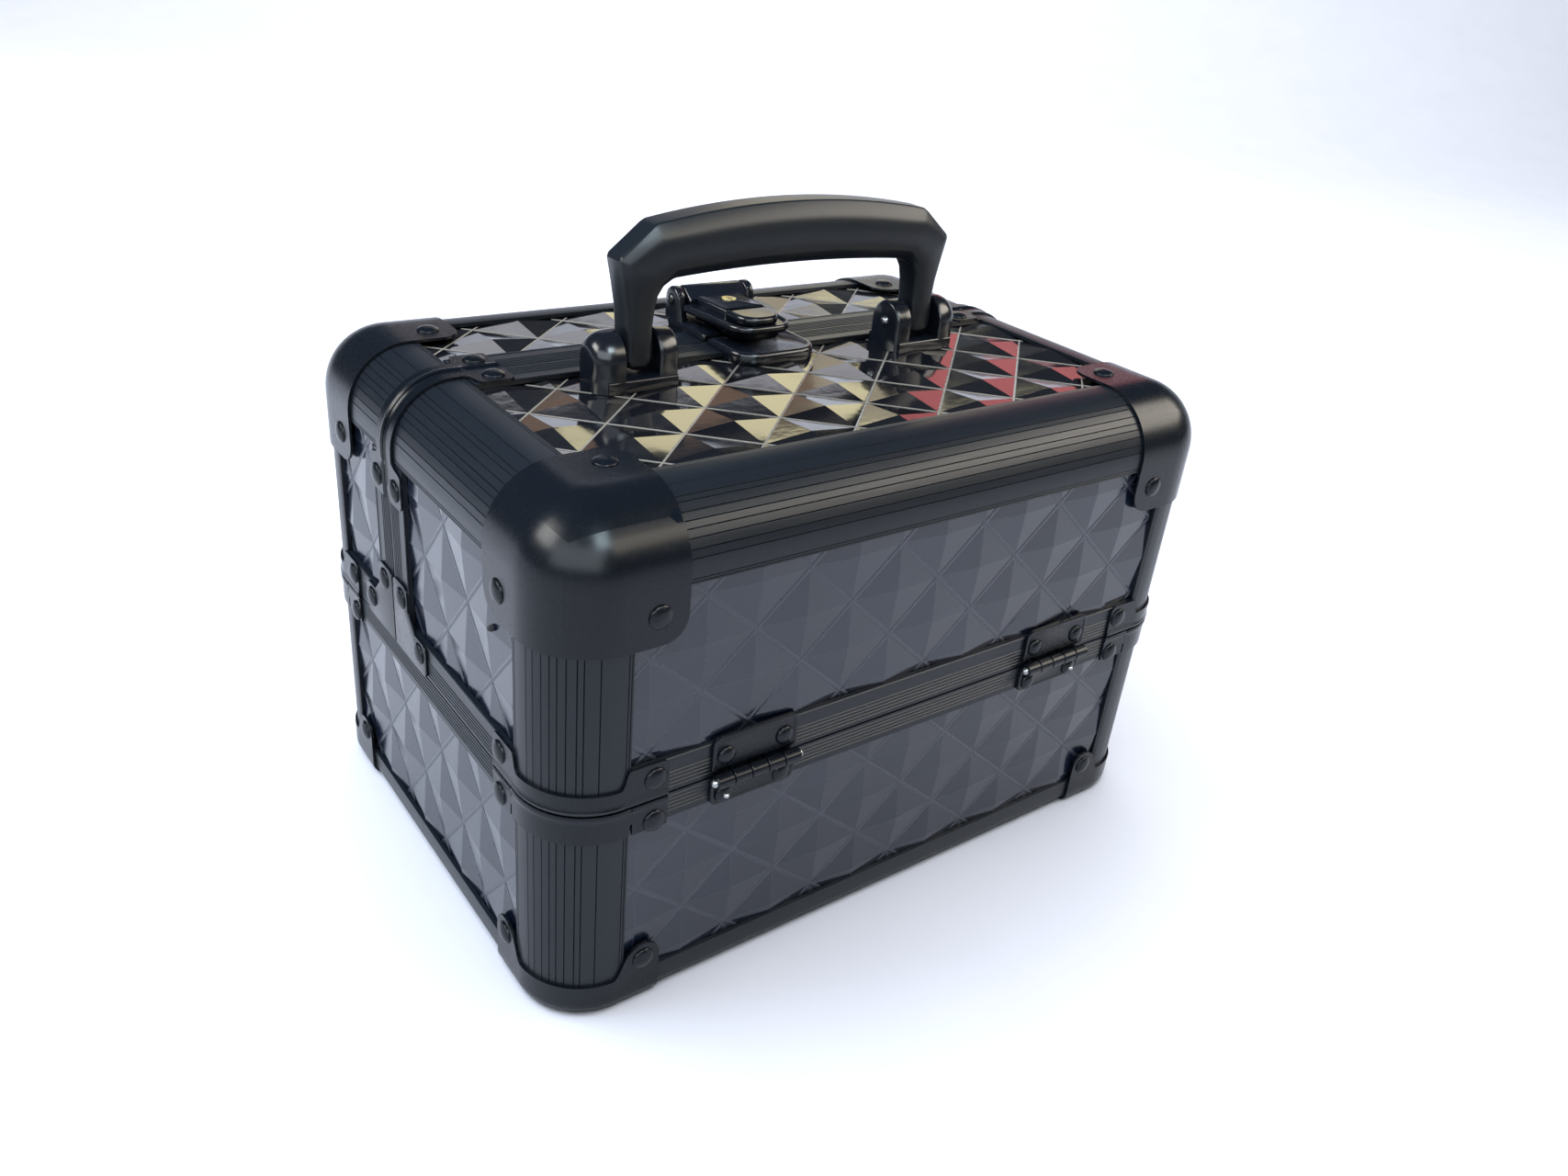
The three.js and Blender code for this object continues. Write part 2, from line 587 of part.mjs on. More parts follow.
// Base plate on the rear lid, with the two outer knuckles and the latch pin.
function latchBase() {
  const front = SEAM_Y + SEAM_GAP + GAP;
  const back = LATCH_PIVOT.y + LATCH_BARREL_RADIUS;
  const plate = box([-LATCH_PLATE_X, LATCH_PLATE_X], [front, back], [FLANGE_TOP, LATCH_PLATE_TOP]);
  const foot = box(
    [-LATCH_PLATE_X, LATCH_PLATE_X],
    [SEAM_Y + SEAM_GAP + LID_RIM_HEIGHT + GAP, back],
    [PANEL_TOP, FLANGE_TOP + 0.5],
  );
  const knuckle = (span) =>
    rodX(LATCH_BARREL_RADIUS, span, LATCH_PIVOT.y, LATCH_PIVOT.z).add(
      box(span, [LATCH_PIVOT.y - LATCH_BARREL_RADIUS, back], [LATCH_PLATE_TOP - 1, LATCH_PIVOT.z]),
    );
  const inner = LATCH_BARREL_X + 0.4;
  return union([
    plate,
    foot,
    knuckle([-LATCH_PLATE_X, -inner]),
    knuckle([inner, LATCH_PLATE_X]),
    rodX(LATCH_PIN_RADIUS, [-LATCH_PLATE_X, LATCH_PLATE_X], LATCH_PIVOT.y, LATCH_PIVOT.z, 12),
  ]);
}

// The hasp: a tapered deck on a barrel, with a skirt that sits over the keeper and a block for the key cylinder.
function latchHasp() {
  const shoulder = 43.4;
  const tip = 13;
  const deck = new THREE.Shape();
  deck.moveTo(-LATCH_BARREL_X, LATCH_PIVOT.y);
  deck.lineTo(-LATCH_BARREL_X, shoulder);
  deck.lineTo(-18, shoulder);
  deck.lineTo(-tip, tip);
  deck.quadraticCurveTo(-tip + 1.5, HASP_TIP, 0, HASP_TIP);
  deck.quadraticCurveTo(tip - 1.5, HASP_TIP, tip, tip);
  deck.lineTo(18, shoulder);
  deck.lineTo(LATCH_BARREL_X, shoulder);
  deck.lineTo(LATCH_BARREL_X, LATCH_PIVOT.y);
  const barrel = [-LATCH_BARREL_X, LATCH_BARREL_X];
  return union([
    prismZ(deck, [HASP_BOTTOM, HASP_DECK]),
    box([-11, 11], [9, shoulder], [LATCH_PLATE_TOP + 0.4, HASP_BOTTOM + 0.5]),
    box([-BLOCK_X, BLOCK_X], BLOCK_Y, [HASP_DECK - 0.5, HASP_TOP]),
    rodX(LATCH_BARREL_RADIUS, barrel, LATCH_PIVOT.y, LATCH_PIVOT.z),
  ])
    .subtract(rodX(LATCH_BORE_RADIUS, [-30, 30], LATCH_PIVOT.y, LATCH_PIVOT.z, 12))
    .subtract(rodZ(KEY_RADIUS + 0.35, [HASP_BOTTOM + 1, HASP_TOP + 1], 0, KEY_Y));
}

function keyCylinder() {
  const slot = box([-0.5, 0.5], [KEY_Y - 2.2, KEY_Y + 2.2], [HASP_TOP - 1.5, HASP_TOP + 2]);
  return rodZ(KEY_RADIUS, [HASP_BOTTOM + 1.4, HASP_TOP + 0.6], 0, KEY_Y).subtract(slot);
}

function releaseTab() {
  return prismZ(roundedRect([-10, 10], TAB_Y, 4), [HASP_DECK + 0.4, HASP_TOP]);
}

// ---------------------------------------------------------------- tray and link arms
// Where each arm meets the tray when the lid is shut.
function trayPivot(pair) {
  return {
    y: ARM_PIVOTS_Y[pair] + ARM_LENGTH * Math.sin(ARM_TILT),
    z: ARM_PIVOT_Z + ARM_LENGTH * Math.cos(ARM_TILT),
  };
}

function tray() {
  const solid = box([-TRAY_X, TRAY_X], TRAY_Y, TRAY_Z);
  const rows = 2;
  const columns = 3;
  const cellX = (2 * TRAY_X - TRAY_WALL) / columns;
  const cellY = (TRAY_Y[1] - TRAY_Y[0] - TRAY_WALL) / rows;
  const cells = [];
  for (let column = 0; column < columns; column += 1) {
    for (let row = 0; row < rows; row += 1) {
      const x0 = -TRAY_X + TRAY_WALL + column * cellX;
      const y0 = TRAY_Y[0] + TRAY_WALL + row * cellY;
      const x = [x0, x0 + cellX - TRAY_WALL];
      const y = [y0, y0 + cellY - TRAY_WALL];
      cells.push(box(x, y, [TRAY_Z[0] + TRAY_WALL, TRAY_Z[1] + 1]));
    }
  }
  const holes = Object.keys(ARM_PIVOTS_Y).map((pair) => {
    const { y, z } = trayPivot(pair);
    const reach = TRAY_X + 1;
    const inside = TRAY_X - TRAY_WALL - 1;
    return rodX(ARM_HOLE_RADIUS, [-reach, -inside], y, z, 12).add(rodX(ARM_HOLE_RADIUS, [inside, reach], y, z, 12));
  });
  return solid.subtract(union(cells)).subtract(union(holes));
}

// A flat link arm on the right-hand side, with a stud into the end panel and a stud into the tray.
function trayArm(pair) {
  const foot = { y: ARM_PIVOTS_Y[pair], z: ARM_PIVOT_Z };
  const head = trayPivot(pair);
  const radius = ARM_WIDTH / 2;
  const across = TAU / 4 - ARM_TILT;
  const shape = new THREE.Shape();
  shape.absarc(foot.y, foot.z, radius, across + TAU / 4, across + 0.75 * TAU, false);
  shape.absarc(head.y, head.z, radius, across - TAU / 4, across + TAU / 4, false);
  const [inner, outer] = ARM_X[pair];
  return union([
    prismX(shape, [inner, outer]),
    rodX(ARM_STUD_RADIUS, [outer - 0.5, HALF_LENGTH - PANEL_RECESS - 0.8], foot.y, foot.z, 12),
    rodX(ARM_STUD_RADIUS, [TRAY_X - TRAY_WALL + 0.5, inner + 0.5], head.y, head.z, 12),
  ]);
}

function mirrorX(solid) {
  const flipped = toGeometry(solid).scale(-1, 1, 1);
  const index = flipped.index.array;
  for (let i = 0; i < index.length; i += 3) [index[i + 1], index[i + 2]] = [index[i + 2], index[i + 1]];
  return toSolid(flipped);
}

// ---------------------------------------------------------------- assembly
function base() {
  const group = new THREE.Group();
  group.add(...basePanels(), ...baseFrames());
  group.add(hinges(false, "front", ["base_hinge_leaf_front_left", "base_hinge_leaf_front_right"]));
  group.add(hinges(false, "back", ["base_hinge_leaf_back_right", "base_hinge_leaf_back_left"]));
  return group;
}

function frontLid() {
  const group = buildLid("front_lid", HALF_DEPTH + SEAM_Y, "left", "right");
  group.add(hinges(true, "front", ["front_lid_hinge_leaf_left", "front_lid_hinge_leaf_right"]));
  group.add(piece("handle_bracket_right", handleBracket(), GLOSS_BLACK));
  group.add(piece("handle_bracket_left", mirrorX(handleBracket()), GLOSS_BLACK));
  group.add(piece("latch_keeper", latchKeeper(), GLOSS_BLACK));
  return group;
}

function rearLid() {
  const group = new THREE.Group();
  const shell = buildLid("rear_lid", HALF_DEPTH - SEAM_Y, "right", "left");
  shell.rotation.z = TAU / 2;
  group.add(shell);
  group.add(hinges(true, "back", ["rear_lid_hinge_leaf_right", "rear_lid_hinge_leaf_left"]));
  group.add(piece("latch_base", latchBase(), GLOSS_BLACK));
  return group;
}

const root = new THREE.Group();
root.add(base(), frontLid(), rearLid());
root.add(piece("carry_handle", handle(), MOULDED));
root.add(piece("latch_hasp", latchHasp(), GLOSS_BLACK));
root.add(piece("latch_release_tab", releaseTab(), GLOSS_BLACK));
root.add(piece("latch_key_cylinder", keyCylinder(), BRASS));
root.add(piece("front_tray", tray(), TRAY_FINISH));
for (const pair of Object.keys(ARM_PIVOTS_Y)) {
  root.add(piece(`tray_arm_${pair}_right`, trayArm(pair), PRESSED_STEEL));
  root.add(piece(`tray_arm_${pair}_left`, mirrorX(trayArm(pair)), PRESSED_STEEL));
}

export default root;
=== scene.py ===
import math

import bmesh
import bpy
import numpy as np
from mathutils import Euler, Matrix, Vector


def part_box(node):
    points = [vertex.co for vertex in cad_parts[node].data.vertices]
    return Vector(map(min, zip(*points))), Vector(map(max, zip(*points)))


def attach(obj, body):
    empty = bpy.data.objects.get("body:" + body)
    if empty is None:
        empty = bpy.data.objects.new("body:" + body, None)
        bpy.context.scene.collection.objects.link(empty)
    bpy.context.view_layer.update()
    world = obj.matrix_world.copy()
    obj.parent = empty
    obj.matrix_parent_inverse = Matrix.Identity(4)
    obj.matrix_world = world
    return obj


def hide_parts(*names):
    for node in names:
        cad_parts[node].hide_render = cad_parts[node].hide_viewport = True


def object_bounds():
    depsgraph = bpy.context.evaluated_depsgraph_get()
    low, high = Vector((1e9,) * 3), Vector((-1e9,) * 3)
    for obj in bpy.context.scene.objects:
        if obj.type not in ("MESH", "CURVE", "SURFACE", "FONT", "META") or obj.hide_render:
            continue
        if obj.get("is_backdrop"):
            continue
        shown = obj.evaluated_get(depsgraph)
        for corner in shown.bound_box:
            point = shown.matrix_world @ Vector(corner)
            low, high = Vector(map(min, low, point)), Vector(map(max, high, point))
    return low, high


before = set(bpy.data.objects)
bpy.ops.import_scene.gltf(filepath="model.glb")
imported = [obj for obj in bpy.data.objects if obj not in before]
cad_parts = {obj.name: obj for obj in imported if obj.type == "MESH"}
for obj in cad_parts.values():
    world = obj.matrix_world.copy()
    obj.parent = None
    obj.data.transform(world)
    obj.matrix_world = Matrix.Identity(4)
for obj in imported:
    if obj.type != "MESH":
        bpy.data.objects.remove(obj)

# Makeup train case. Shapes are worked out in millimetres, in the CAD's frame, and stored in metres.
CAD_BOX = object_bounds()
MM = 0.001


def node_box(*nodes):
    """The lowest and highest corner of some CAD nodes together, in millimetres."""
    boxes = [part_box(node) for node in nodes]
    low = np.min([np.array(low) for low, _ in boxes], axis=0) / MM
    high = np.max([np.array(high) for _, high in boxes], axis=0) / MM
    return low, high


# ---------------------------------------------------------------- sizes taken from the frame
HALF_X, HALF_Y, BASE_TOP = node_box("base_rim_frame")[1]
LID_BOTTOM = node_box("front_lid_rim")[0][2]
TOP_Z = node_box("front_lid_rim")[1][2]
FRONT_SEAM_Y = node_box("front_lid_rim")[1][1]
REAR_SEAM_Y = node_box("rear_lid_rim")[0][1]
EDGE_SPAN = node_box("front_lid_top_edge")[1][2] - node_box("front_lid_top_edge")[0][2]
EDGE_RADIUS = 24
EDGE_WALL = 1.6
SHEET = 1.1  # pressed steel fittings
SKIN_GAP = 0.05  # between a fitting and the face it lies on
ARC_HALF = math.pi * EDGE_RADIUS / 4  # half the length of the path round an edge
LIDS = {"front_lid": (-1, FRONT_SEAM_Y), "rear_lid": (1, REAR_SEAM_Y)}
SIDES = {"left": -1, "right": 1}
ENDS = {"front": -1, "back": 1}


# ---------------------------------------------------------------- materials
def look(name, dark, light, roughness, grain, bump, bump_depth, **sockets):
    """A material whose colour and roughness drift between two values, with a grain that is also its bump."""
    material = bpy.data.materials.new(name)
    material.use_nodes = True
    nodes = material.node_tree.nodes
    link = material.node_tree.links.new

    def set_sockets(node, values):
        for socket, value in values.items():
            node.inputs[socket.replace("_", " ")].default_value = value

    def add(kind, **values):
        node = nodes.new("ShaderNode" + kind)
        set_sockets(node, values)
        return node

    shader = nodes["Principled BSDF"]
    place = add("TexCoord")
    stretch = add("Mapping", Scale=grain if isinstance(grain, list) else [grain] * 3)
    fine = add("TexNoise", Scale=10, Detail=4)
    broad = add("TexNoise", Scale=14, Detail=3)
    colour = add("Mix")
    colour.data_type = "RGBA"
    set_sockets(colour, {"A": (*dark, 1), "B": (*light, 1)})
    spread = add("MapRange", From_Min=0.3, From_Max=0.7, To_Min=roughness[0], To_Max=roughness[1])
    relief = add("Bump", Strength=bump, Distance=bump_depth * MM)
    link(place.outputs["Object"], stretch.inputs["Vector"])
    link(stretch.outputs["Vector"], fine.inputs["Vector"])
    link(place.outputs["Object"], broad.inputs["Vector"])
    link(broad.outputs["Fac"], colour.inputs["Factor"])
    link(colour.outputs["Result"], shader.inputs["Base Color"])
    link(fine.outputs["Fac"], spread.inputs["Value"])
    link(spread.outputs["Result"], shader.inputs["Roughness"])
    link(fine.outputs["Fac"], relief.inputs["Height"])
    link(relief.outputs["Normal"], shader.inputs["Normal"])
    set_sockets(shader, sockets)
    return material


def brushed(axis):
    """Anodised aluminium with its grain drawn out along an axis."""
    grain = [220, 220, 220]
    grain[axis] = 3
    return look(
        f"anodised_{'xyz'[axis]}", (0.006, 0.009, 0.013), (0.012, 0.016, 0.021), (0.3, 0.4),
        grain, bump=0.25, bump_depth=0.02, IOR=1.33,
    )


ANODISED = [brushed(axis) for axis in range(3)]
PRESSED = look("pressed_steel", (0.003, 0.005, 0.008), (0.006, 0.009, 0.013), (0.25, 0.28),
               60, bump=0.03, bump_depth=0.01, IOR=1.31)
PANEL_TOP = look("panel_top", (0.004, 0.0045, 0.006), (0.009, 0.010, 0.013), (0.07, 0.1),
                 9, bump=0.4, bump_depth=0.18, IOR=1.9)
# Same plastic as panel_top. Its bluer, lighter colour is a painted bluish reflection on the side faces; its
# roughness and IOR also differ.
PANEL_SIDE = look("panel_side", (0.005, 0.009, 0.02), (0.010, 0.015, 0.029), (0.15, 0.2),
                  9, bump=0.4, bump_depth=0.12, IOR=1.54)
# Painted highlight: the top panel's valley strips and ridge lines are coloured light gold so that they show
# as bright lines.
TOP_LINE_HIGHLIGHT = look("panel_top_line_highlight", (0.14, 0.13, 0.1), (0.36, 0.34, 0.28), (0.2, 0.3),
                60, bump=0.15, bump_depth=0.02)
# Painted highlight: the side panels' valley strips and ridge lines are coloured lighter than their facets, as
# soft light lines.
SIDE_LINE_HIGHLIGHT = look("panel_side_line_highlight", (0.016, 0.02, 0.032), (0.04, 0.046, 0.062), (0.26, 0.36),
                 60, bump=0.15, bump_depth=0.02)
LATCH_BLACK = look("latch_gloss", (0.004, 0.006, 0.010), (0.009, 0.012, 0.018), (0.2, 0.26),
                   30, bump=0.1, bump_depth=0.02, IOR=1.48)
MOULDED = look("handle_plastic", (0.006, 0.009, 0.013), (0.010, 0.014, 0.019), (0.31, 0.38),
               160, bump=0.2, bump_depth=0.03, IOR=1.36)
STEEL_PIN = look("steel_pin", (0.2, 0.2, 0.21), (0.36, 0.36, 0.37), (0.24, 0.34),
                 90, bump=0.15, bump_depth=0.02, Metallic=1.0)
BRASS = look("key_brass", (0.46, 0.41, 0.2), (0.72, 0.67, 0.4), (0.22, 0.34),
             90, bump=0.15, bump_depth=0.02, Metallic=1.0)
TRAY_BLACK = look("tray_black", (0.016, 0.016, 0.018), (0.026, 0.026, 0.029), (0.5, 0.62),
                  120, bump=0.4, bump_depth=0.05)
LINING = look("lining_flock", (0.012, 0.012, 0.014), (0.03, 0.03, 0.034), (0.85, 0.98),
              300, bump=0.8, bump_depth=0.2, Sheen_Weight=0.15)


# ---------------------------------------------------------------- mesh helpers
class Shape:
    """Vertices in millimetres and faces, gathered from several closed forms."""

    def __init__(self):
        self.points = []
        self.faces = []

    def add(self, points, faces):
        start = len(self.points)
        self.points.extend([tuple(point) for point in points])
        self.faces.extend([[start + index for index in face] for face in faces])
        return self

    def grid_solid(self, outer, inner):
        """A closed sheet between two grids of points that have the same rows and columns."""
        rows, columns = outer.shape[:2]
        count = rows * columns
        at = lambda row, column: row * columns + column
        faces = []
        for row in range(rows - 1):
            for column in range(columns - 1):
                quad = [at(row, column), at(row, column + 1), at(row + 1, column + 1), at(row + 1, column)]
                faces.append(quad)
                faces.append([count + index for index in reversed(quad)])
        rim = [at(0, column) for column in range(columns - 1)]
        rim += [at(row, columns - 1) for row in range(rows - 1)]
        rim += [at(rows - 1, column) for column in range(columns - 1, 0, -1)]
        rim += [at(row, 0) for row in range(rows - 1, 0, -1)]
        for here, after in zip(rim, rim[1:] + rim[:1]):
            faces.append([after, here, count + here, count + after])
        return self.add(np.concatenate([outer.reshape(-1, 3), inner.reshape(-1, 3)]), faces)

    def loft(self, rings, cap_start=True, cap_end=True):
        """A skin over closed rings of equal length."""
        size = len(rings[0])
        faces = []
        for level in range(len(rings) - 1):
            for index in range(size):
                after = (index + 1) % size
                low, high = level * size, (level + 1) * size
                faces.append([low + index, low + after, high + after, high + index])
        if cap_start:
            faces.append(list(range(size))[::-1])
        if cap_end:
            faces.append([(len(rings) - 1) * size + index for index in range(size)])
        return self.add(np.concatenate([np.asarray(ring, float) for ring in rings]), faces)

    def moved(self, change):
        self.points = [tuple(change(np.array(point, float))) for point in self.points]


def finish_mesh(bm, bevel, bevel_angle, segments):
    """Joins doubled points, turns the faces outwards and bevels the edges sharper than bevel_angle."""
    bmesh.ops.remove_doubles(bm, verts=bm.verts, dist=0.003 * MM)
    bmesh.ops.dissolve_degenerate(bm, edges=bm.edges, dist=0.003 * MM)
    bmesh.ops.recalc_face_normals(bm, faces=bm.faces)
    if bevel:
        sharp = [e for e in bm.edges if len(e.link_faces) == 2 and e.calc_face_angle() > bevel_angle]
        bmesh.ops.bevel(bm, geom=sharp, offset=bevel * MM, segments=segments, profile=0.6,
                        affect="EDGES", clamp_overlap=True)


def make(name, shape, material, body, slot, replaces=(), bevel=0.0, bevel_angle=0.6, segments=2, crisp=35):
    """Turns a Shape, or a BMesh in metres, into an object that rides on a body."""
    bm = shape
    if isinstance(shape, Shape):
        bm = bmesh.new()
        corners = [bm.verts.new(Vector(point) * MM) for point in shape.points]
        for face in shape.faces:
            try:
                bm.faces.new([corners[index] for index in face])
            except ValueError:  # two points of the face are one
                pass
    finish_mesh(bm, bevel, bevel_angle, segments)
    mesh = bpy.data.meshes.new(name)
    bm.to_mesh(mesh)
    bm.free()
    mesh.shade_smooth()
    mesh.set_sharp_from_angle(angle=math.radians(crisp))
    mesh.materials.append(material)
    piece = bpy.data.objects.new(name, mesh)
    bpy.context.scene.collection.objects.link(piece)
    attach(piece, body)
    if replaces:
        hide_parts(*replaces)
    return piece


def softened(node, body, material, slot, width):
    """A copy of a CAD node with its edges rounded."""
    bm = bmesh.new()
    bm.from_mesh(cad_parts[node].data)
    bmesh.ops.remove_doubles(bm, verts=bm.verts, dist=0.002 * MM)
    bmesh.ops.dissolve_limit(bm, angle_limit=math.radians(1), verts=bm.verts, edges=bm.edges)
    make(node + "_finished", bm, material, body, slot, [node], width, 0.55, 3, 40)


def bend(s, out):
    """A point on the path around a rounded edge, s from its middle: distances in from the two outer faces."""
    if s > ARC_HALF:
        return EDGE_RADIUS + s - ARC_HALF, -out
    if s < -ARC_HALF:
        return -out, EDGE_RADIUS - s - ARC_HALF
    angle = math.radians(225) + s / EDGE_RADIUS
    reach = EDGE_RADIUS + out
    return EDGE_RADIUS + reach * math.cos(angle), EDGE_RADIUS + reach * math.sin(angle)


def along(distance):
    """The path length from the middle of a rounded edge to a point this far in from the sharp corner."""
    return distance - EDGE_RADIUS + ARC_HALF


def upright(sign_x, sign_y):
    """Places (s, height, out) around a vertical edge: positive s runs onto the front or back face."""
    def place(s, z, out):
        a, b = bend(s, out)
        return sign_x * (HALF_X - a), sign_y * (HALF_Y - b), z
    return place


def over_end(sign_x):
    """Places (s, y, out) around a top end edge: positive s runs onto the top."""
    def place(s, y, out):
        a, b = bend(s, out)
        return sign_x * (HALF_X - a), y, TOP_Z - b
    return place


def over_length(sign_y):
    """Places (s, x, out) around a top front or back edge: positive s runs onto the top."""
    def place(s, x, out):
        a, b = bend(s, out)
        return x, sign_y * (HALF_Y - a), TOP_Z - b
    return place


def stations(limit, extra=()):
    """Stations along a bent path, close together round the bend."""
    steps = set(np.linspace(-ARC_HALF, ARC_HALF, 17)) | {-limit, limit} | set(extra)
    return sorted(steps)


SHEET_ROWS = 13
BEAD_IN, BEAD_WIDTH = 1.1, 0.7  # a fitting's raised bead, in from its straight edge


def bent_sheet(place, columns, low, high, bead_at):
    """A sheet bent round an edge, between low(s) and high(s), with a raised bead along it at bead_at."""
    at, height = bead_at
    shares = np.linspace(0, 1, SHEET_ROWS)
    outer = np.zeros((SHEET_ROWS, len(columns), 3))
    inner = np.zeros_like(outer)
    for column, s in enumerate(columns):
        bottom, top = low(s), high(s)
        for row, share in enumerate(shares):
            across = bottom + (top - bottom) * share
            bead = height * math.exp(-(((across - at) / BEAD_WIDTH) ** 2))
            outer[row, column] = place(s, across, SHEET + bead)
            inner[row, column] = place(s, across, SKIN_GAP)
    return outer, inner


def rounded_end(distance, radius):
    """How far an outline falls short at this distance from a rounded end."""
    if distance >= radius:
        return 0
    return radius - math.sqrt(max(radius**2 - (radius - distance) ** 2, 0))


def smooth(value, start, end):
    """Rises from 0 at start to 1 at end, level at both."""
    share = min(max((value - start) / (end - start), 0), 1)
    return share * share * (3 - 2 * share)


# ---------------------------------------------------------------- rivets
RIVET_RADIUS = 4.2
RIVET_PROFILE = [(1, -0.3), (1, 0.3), (0.95, 0.62), (0.86, 0.8), (0.78, 0.98), (0.62, 1.28), (0.4, 1.5),
                 (0.18, 1.62)]  # share of the radius, height


def rivet(shape, centre, normal, radius=RIVET_RADIUS, sides=24):
    """A domed rivet head on a face."""
    turn = Vector((0, 0, 1)).rotation_difference(Vector(normal)).to_matrix()
    rings = []
    for share, height in RIVET_PROFILE:
        ring = []
        for index in range(sides):
            angle = 2 * math.pi * index / sides
            point = Vector((radius * share * math.cos(angle), radius * share * math.sin(angle), height))
            ring.append(tuple(turn @ point + Vector(centre)))
        rings.append(ring)
    shape.loft(rings)


# ---------------------------------------------------------------- edge extrusions
GROOVE_ANGLES = (12, 19, 27, 34, 40, 47, 55, 60, 72)
GROOVE_WIDTH = 0.42
GROOVE_DEPTH = 0.3
FLANGE_GROOVES = (0.9, 1.9)  # in from the edge of each flange


def extrusion_section():
    """The section of an edge extrusion as (s, out) pairs: the grooved outside, then the inside."""
    limit = along(EDGE_SPAN)
    marks = [math.radians(angle - 45) * EDGE_RADIUS for angle in GROOVE_ANGLES]
    marks += [sign * (limit - inset) for sign in (-1, 1) for inset in FLANGE_GROOVES]
    outside = {-limit: -0.25, limit: -0.25, -limit + 0.3: 0.0, limit - 0.3: 0.0}
    for mark in marks:
        outside[mark] = -GROOVE_DEPTH
        outside[mark - GROOVE_WIDTH / 2] = 0.0
        outside[mark + GROOVE_WIDTH / 2] = 0.0
    for s in np.linspace(-ARC_HALF, ARC_HALF, 19):
        if all(abs(s - mark) > GROOVE_WIDTH for mark in marks):
            outside[s] = 0.0
    section = sorted(outside.items())
    inside = [(s, -EDGE_WALL) for s in [limit, *np.linspace(ARC_HALF, -ARC_HALF, 13), -limit]]
    return section + inside


def extrusion(node, body, place, axis):
    """A grooved edge extrusion in place of a CAD node, along an axis."""
    low, high = node_box(node)
    rings = [[place(s, end, out) for s, out in extrusion_section()] for end in (low[axis], high[axis])]
    make(node + "_grooved", Shape().loft(rings), ANODISED[axis], body, "anodised_frame", [node], crisp=28)


def edge_extrusions():
    for lid, (sign_y, _) in LIDS.items():
        extrusion(f"{lid}_top_edge", lid, over_length(sign_y), 0)
        for side, sign_x in SIDES.items():
            extrusion(f"{lid}_end_edge_{side}", lid, over_end(sign_x), 1)
            extrusion(f"{lid}_post_{side}", lid, upright(sign_x, sign_y), 2)
    for end, sign_y in ENDS.items():
        for side, sign_x in SIDES.items():
            extrusion(f"base_post_{end}_{side}", "base", upright(sign_x, sign_y), 2)


# ---------------------------------------------------------------- diamond panels
TOP_APEX, SIDE_APEX = 1.8, 1.5  # height of a facet's point over its valleys
PROUD = 1.7  # the points, above the CAD face and still below the frame
CREASE_LINE = 0.3  # height of the raised line along each valley
TOP_STRIP, SIDE_STRIP = 0.03, 0.07  # how much of each half diamond its border strip takes
RIDGE = 0.14  # RIDGE = 0.14 # width of the bright line along each ridge: a painted highlight in the line material
WALL = 0.3  # how far the embossed field reaches down into its backing
RIM_HEIGHT, BASE_RIM_HEIGHT = 14, 10
# A lattice is a node of its valleys, across from the middle and up, then half a diamond each way
LID_TOP_LATTICE = (-16.3, 33.9 - HALF_Y, 19.7, 18.2)
LID_FACE_LATTICE = (-16.8, TOP_Z - 33.2, 19.9, 17.9)
LID_END_LATTICE = (-21.3, TOP_Z - 34.3, 18.2, 20.4)
BASE_FACE_LATTICE = (1.5, BASE_TOP - 37.8, 20, 17.2)
BASE_END_LATTICE = (-9.7, BASE_TOP - 29.6, 18.2, 21.4)
SPARE_HOLE = (FRONT_SEAM_Y - 85.1, LID_BOTTOM + 50.9)


def facet_field(bm, window, origin, half_pitch, apex, strip):
    """A lattice of low pyramids over a window, closed underneath."""
    (low_u, high_u), (low_v, high_v) = window
    corners = {}

    def corner(i, j, height):
        if (i, j) not in corners:
            spot = (origin[0] + i * half_pitch[0], origin[1] + j * half_pitch[1], height)
            corners[i, j] = bm.verts.new(spot)
        return corners[i, j]

    spans = []
    for (low, high), start, pitch in zip(window, origin, half_pitch):
        spans.append(range(math.floor((low - start) / pitch) - 1, math.ceil((high - start) / pitch) + 2))
    around = ((1, 0), (0, 1), (-1, 0), (0, -1))
    reach = 1 - strip
    for i in spans[0]:
        for j in spans[1]:
            if (i + j) % 2 == 0:
                continue
            peak = corner(i, j, apex)
            border = [corner(i + a * reach, j + b * reach, apex * strip) for a, b in around]
            nodes = [corner(i + a, j + b, CREASE_LINE) for a, b in around]
            for k in range(4):
                after = (k + 1) % 4
                bm.faces.new([peak, border[k], border[after]])
                # The valley strips take the line material, whose lighter colour is a painted highlight.
                line = bm.faces.new([border[k], nodes[k], nodes[after], border[after]])
                line.material_index = 1
    # The ridge bevels take the line material too: painted bright ridge lines.
    ridges = [e for e in bm.edges if any(v.co.z == apex for v in e.verts)]
    cut = bmesh.ops.bevel(bm, geom=ridges, offset=RIDGE, segments=1, affect="EDGES", clamp_overlap=True)
    for ridge in cut["faces"]:
        ridge.material_index = 1
    for point, normal in (((low_u, 0, 0), (-1, 0, 0)), ((high_u, 0, 0), (1, 0, 0)),
                          ((0, low_v, 0), (0, -1, 0)), ((0, high_v, 0), (0, 1, 0))):
        everything = bm.verts[:] + bm.edges[:] + bm.faces[:]
        bmesh.ops.bisect_plane(bm, geom=everything, plane_co=point, plane_no=normal, clear_outer=True,
                               dist=0.001)
    border = [e for e in bm.edges if len(e.link_faces) == 1]
    feet = {v: bm.verts.new((v.co.x, v.co.y, -WALL)) for e in border for v in e.verts}
    for edge in border:
        a, b = edge.verts
        bm.faces.new([a, b, feet[b], feet[a]])
    bmesh.ops.contextual_create(bm, geom=[e for e in bm.edges if len(e.link_faces) == 1])


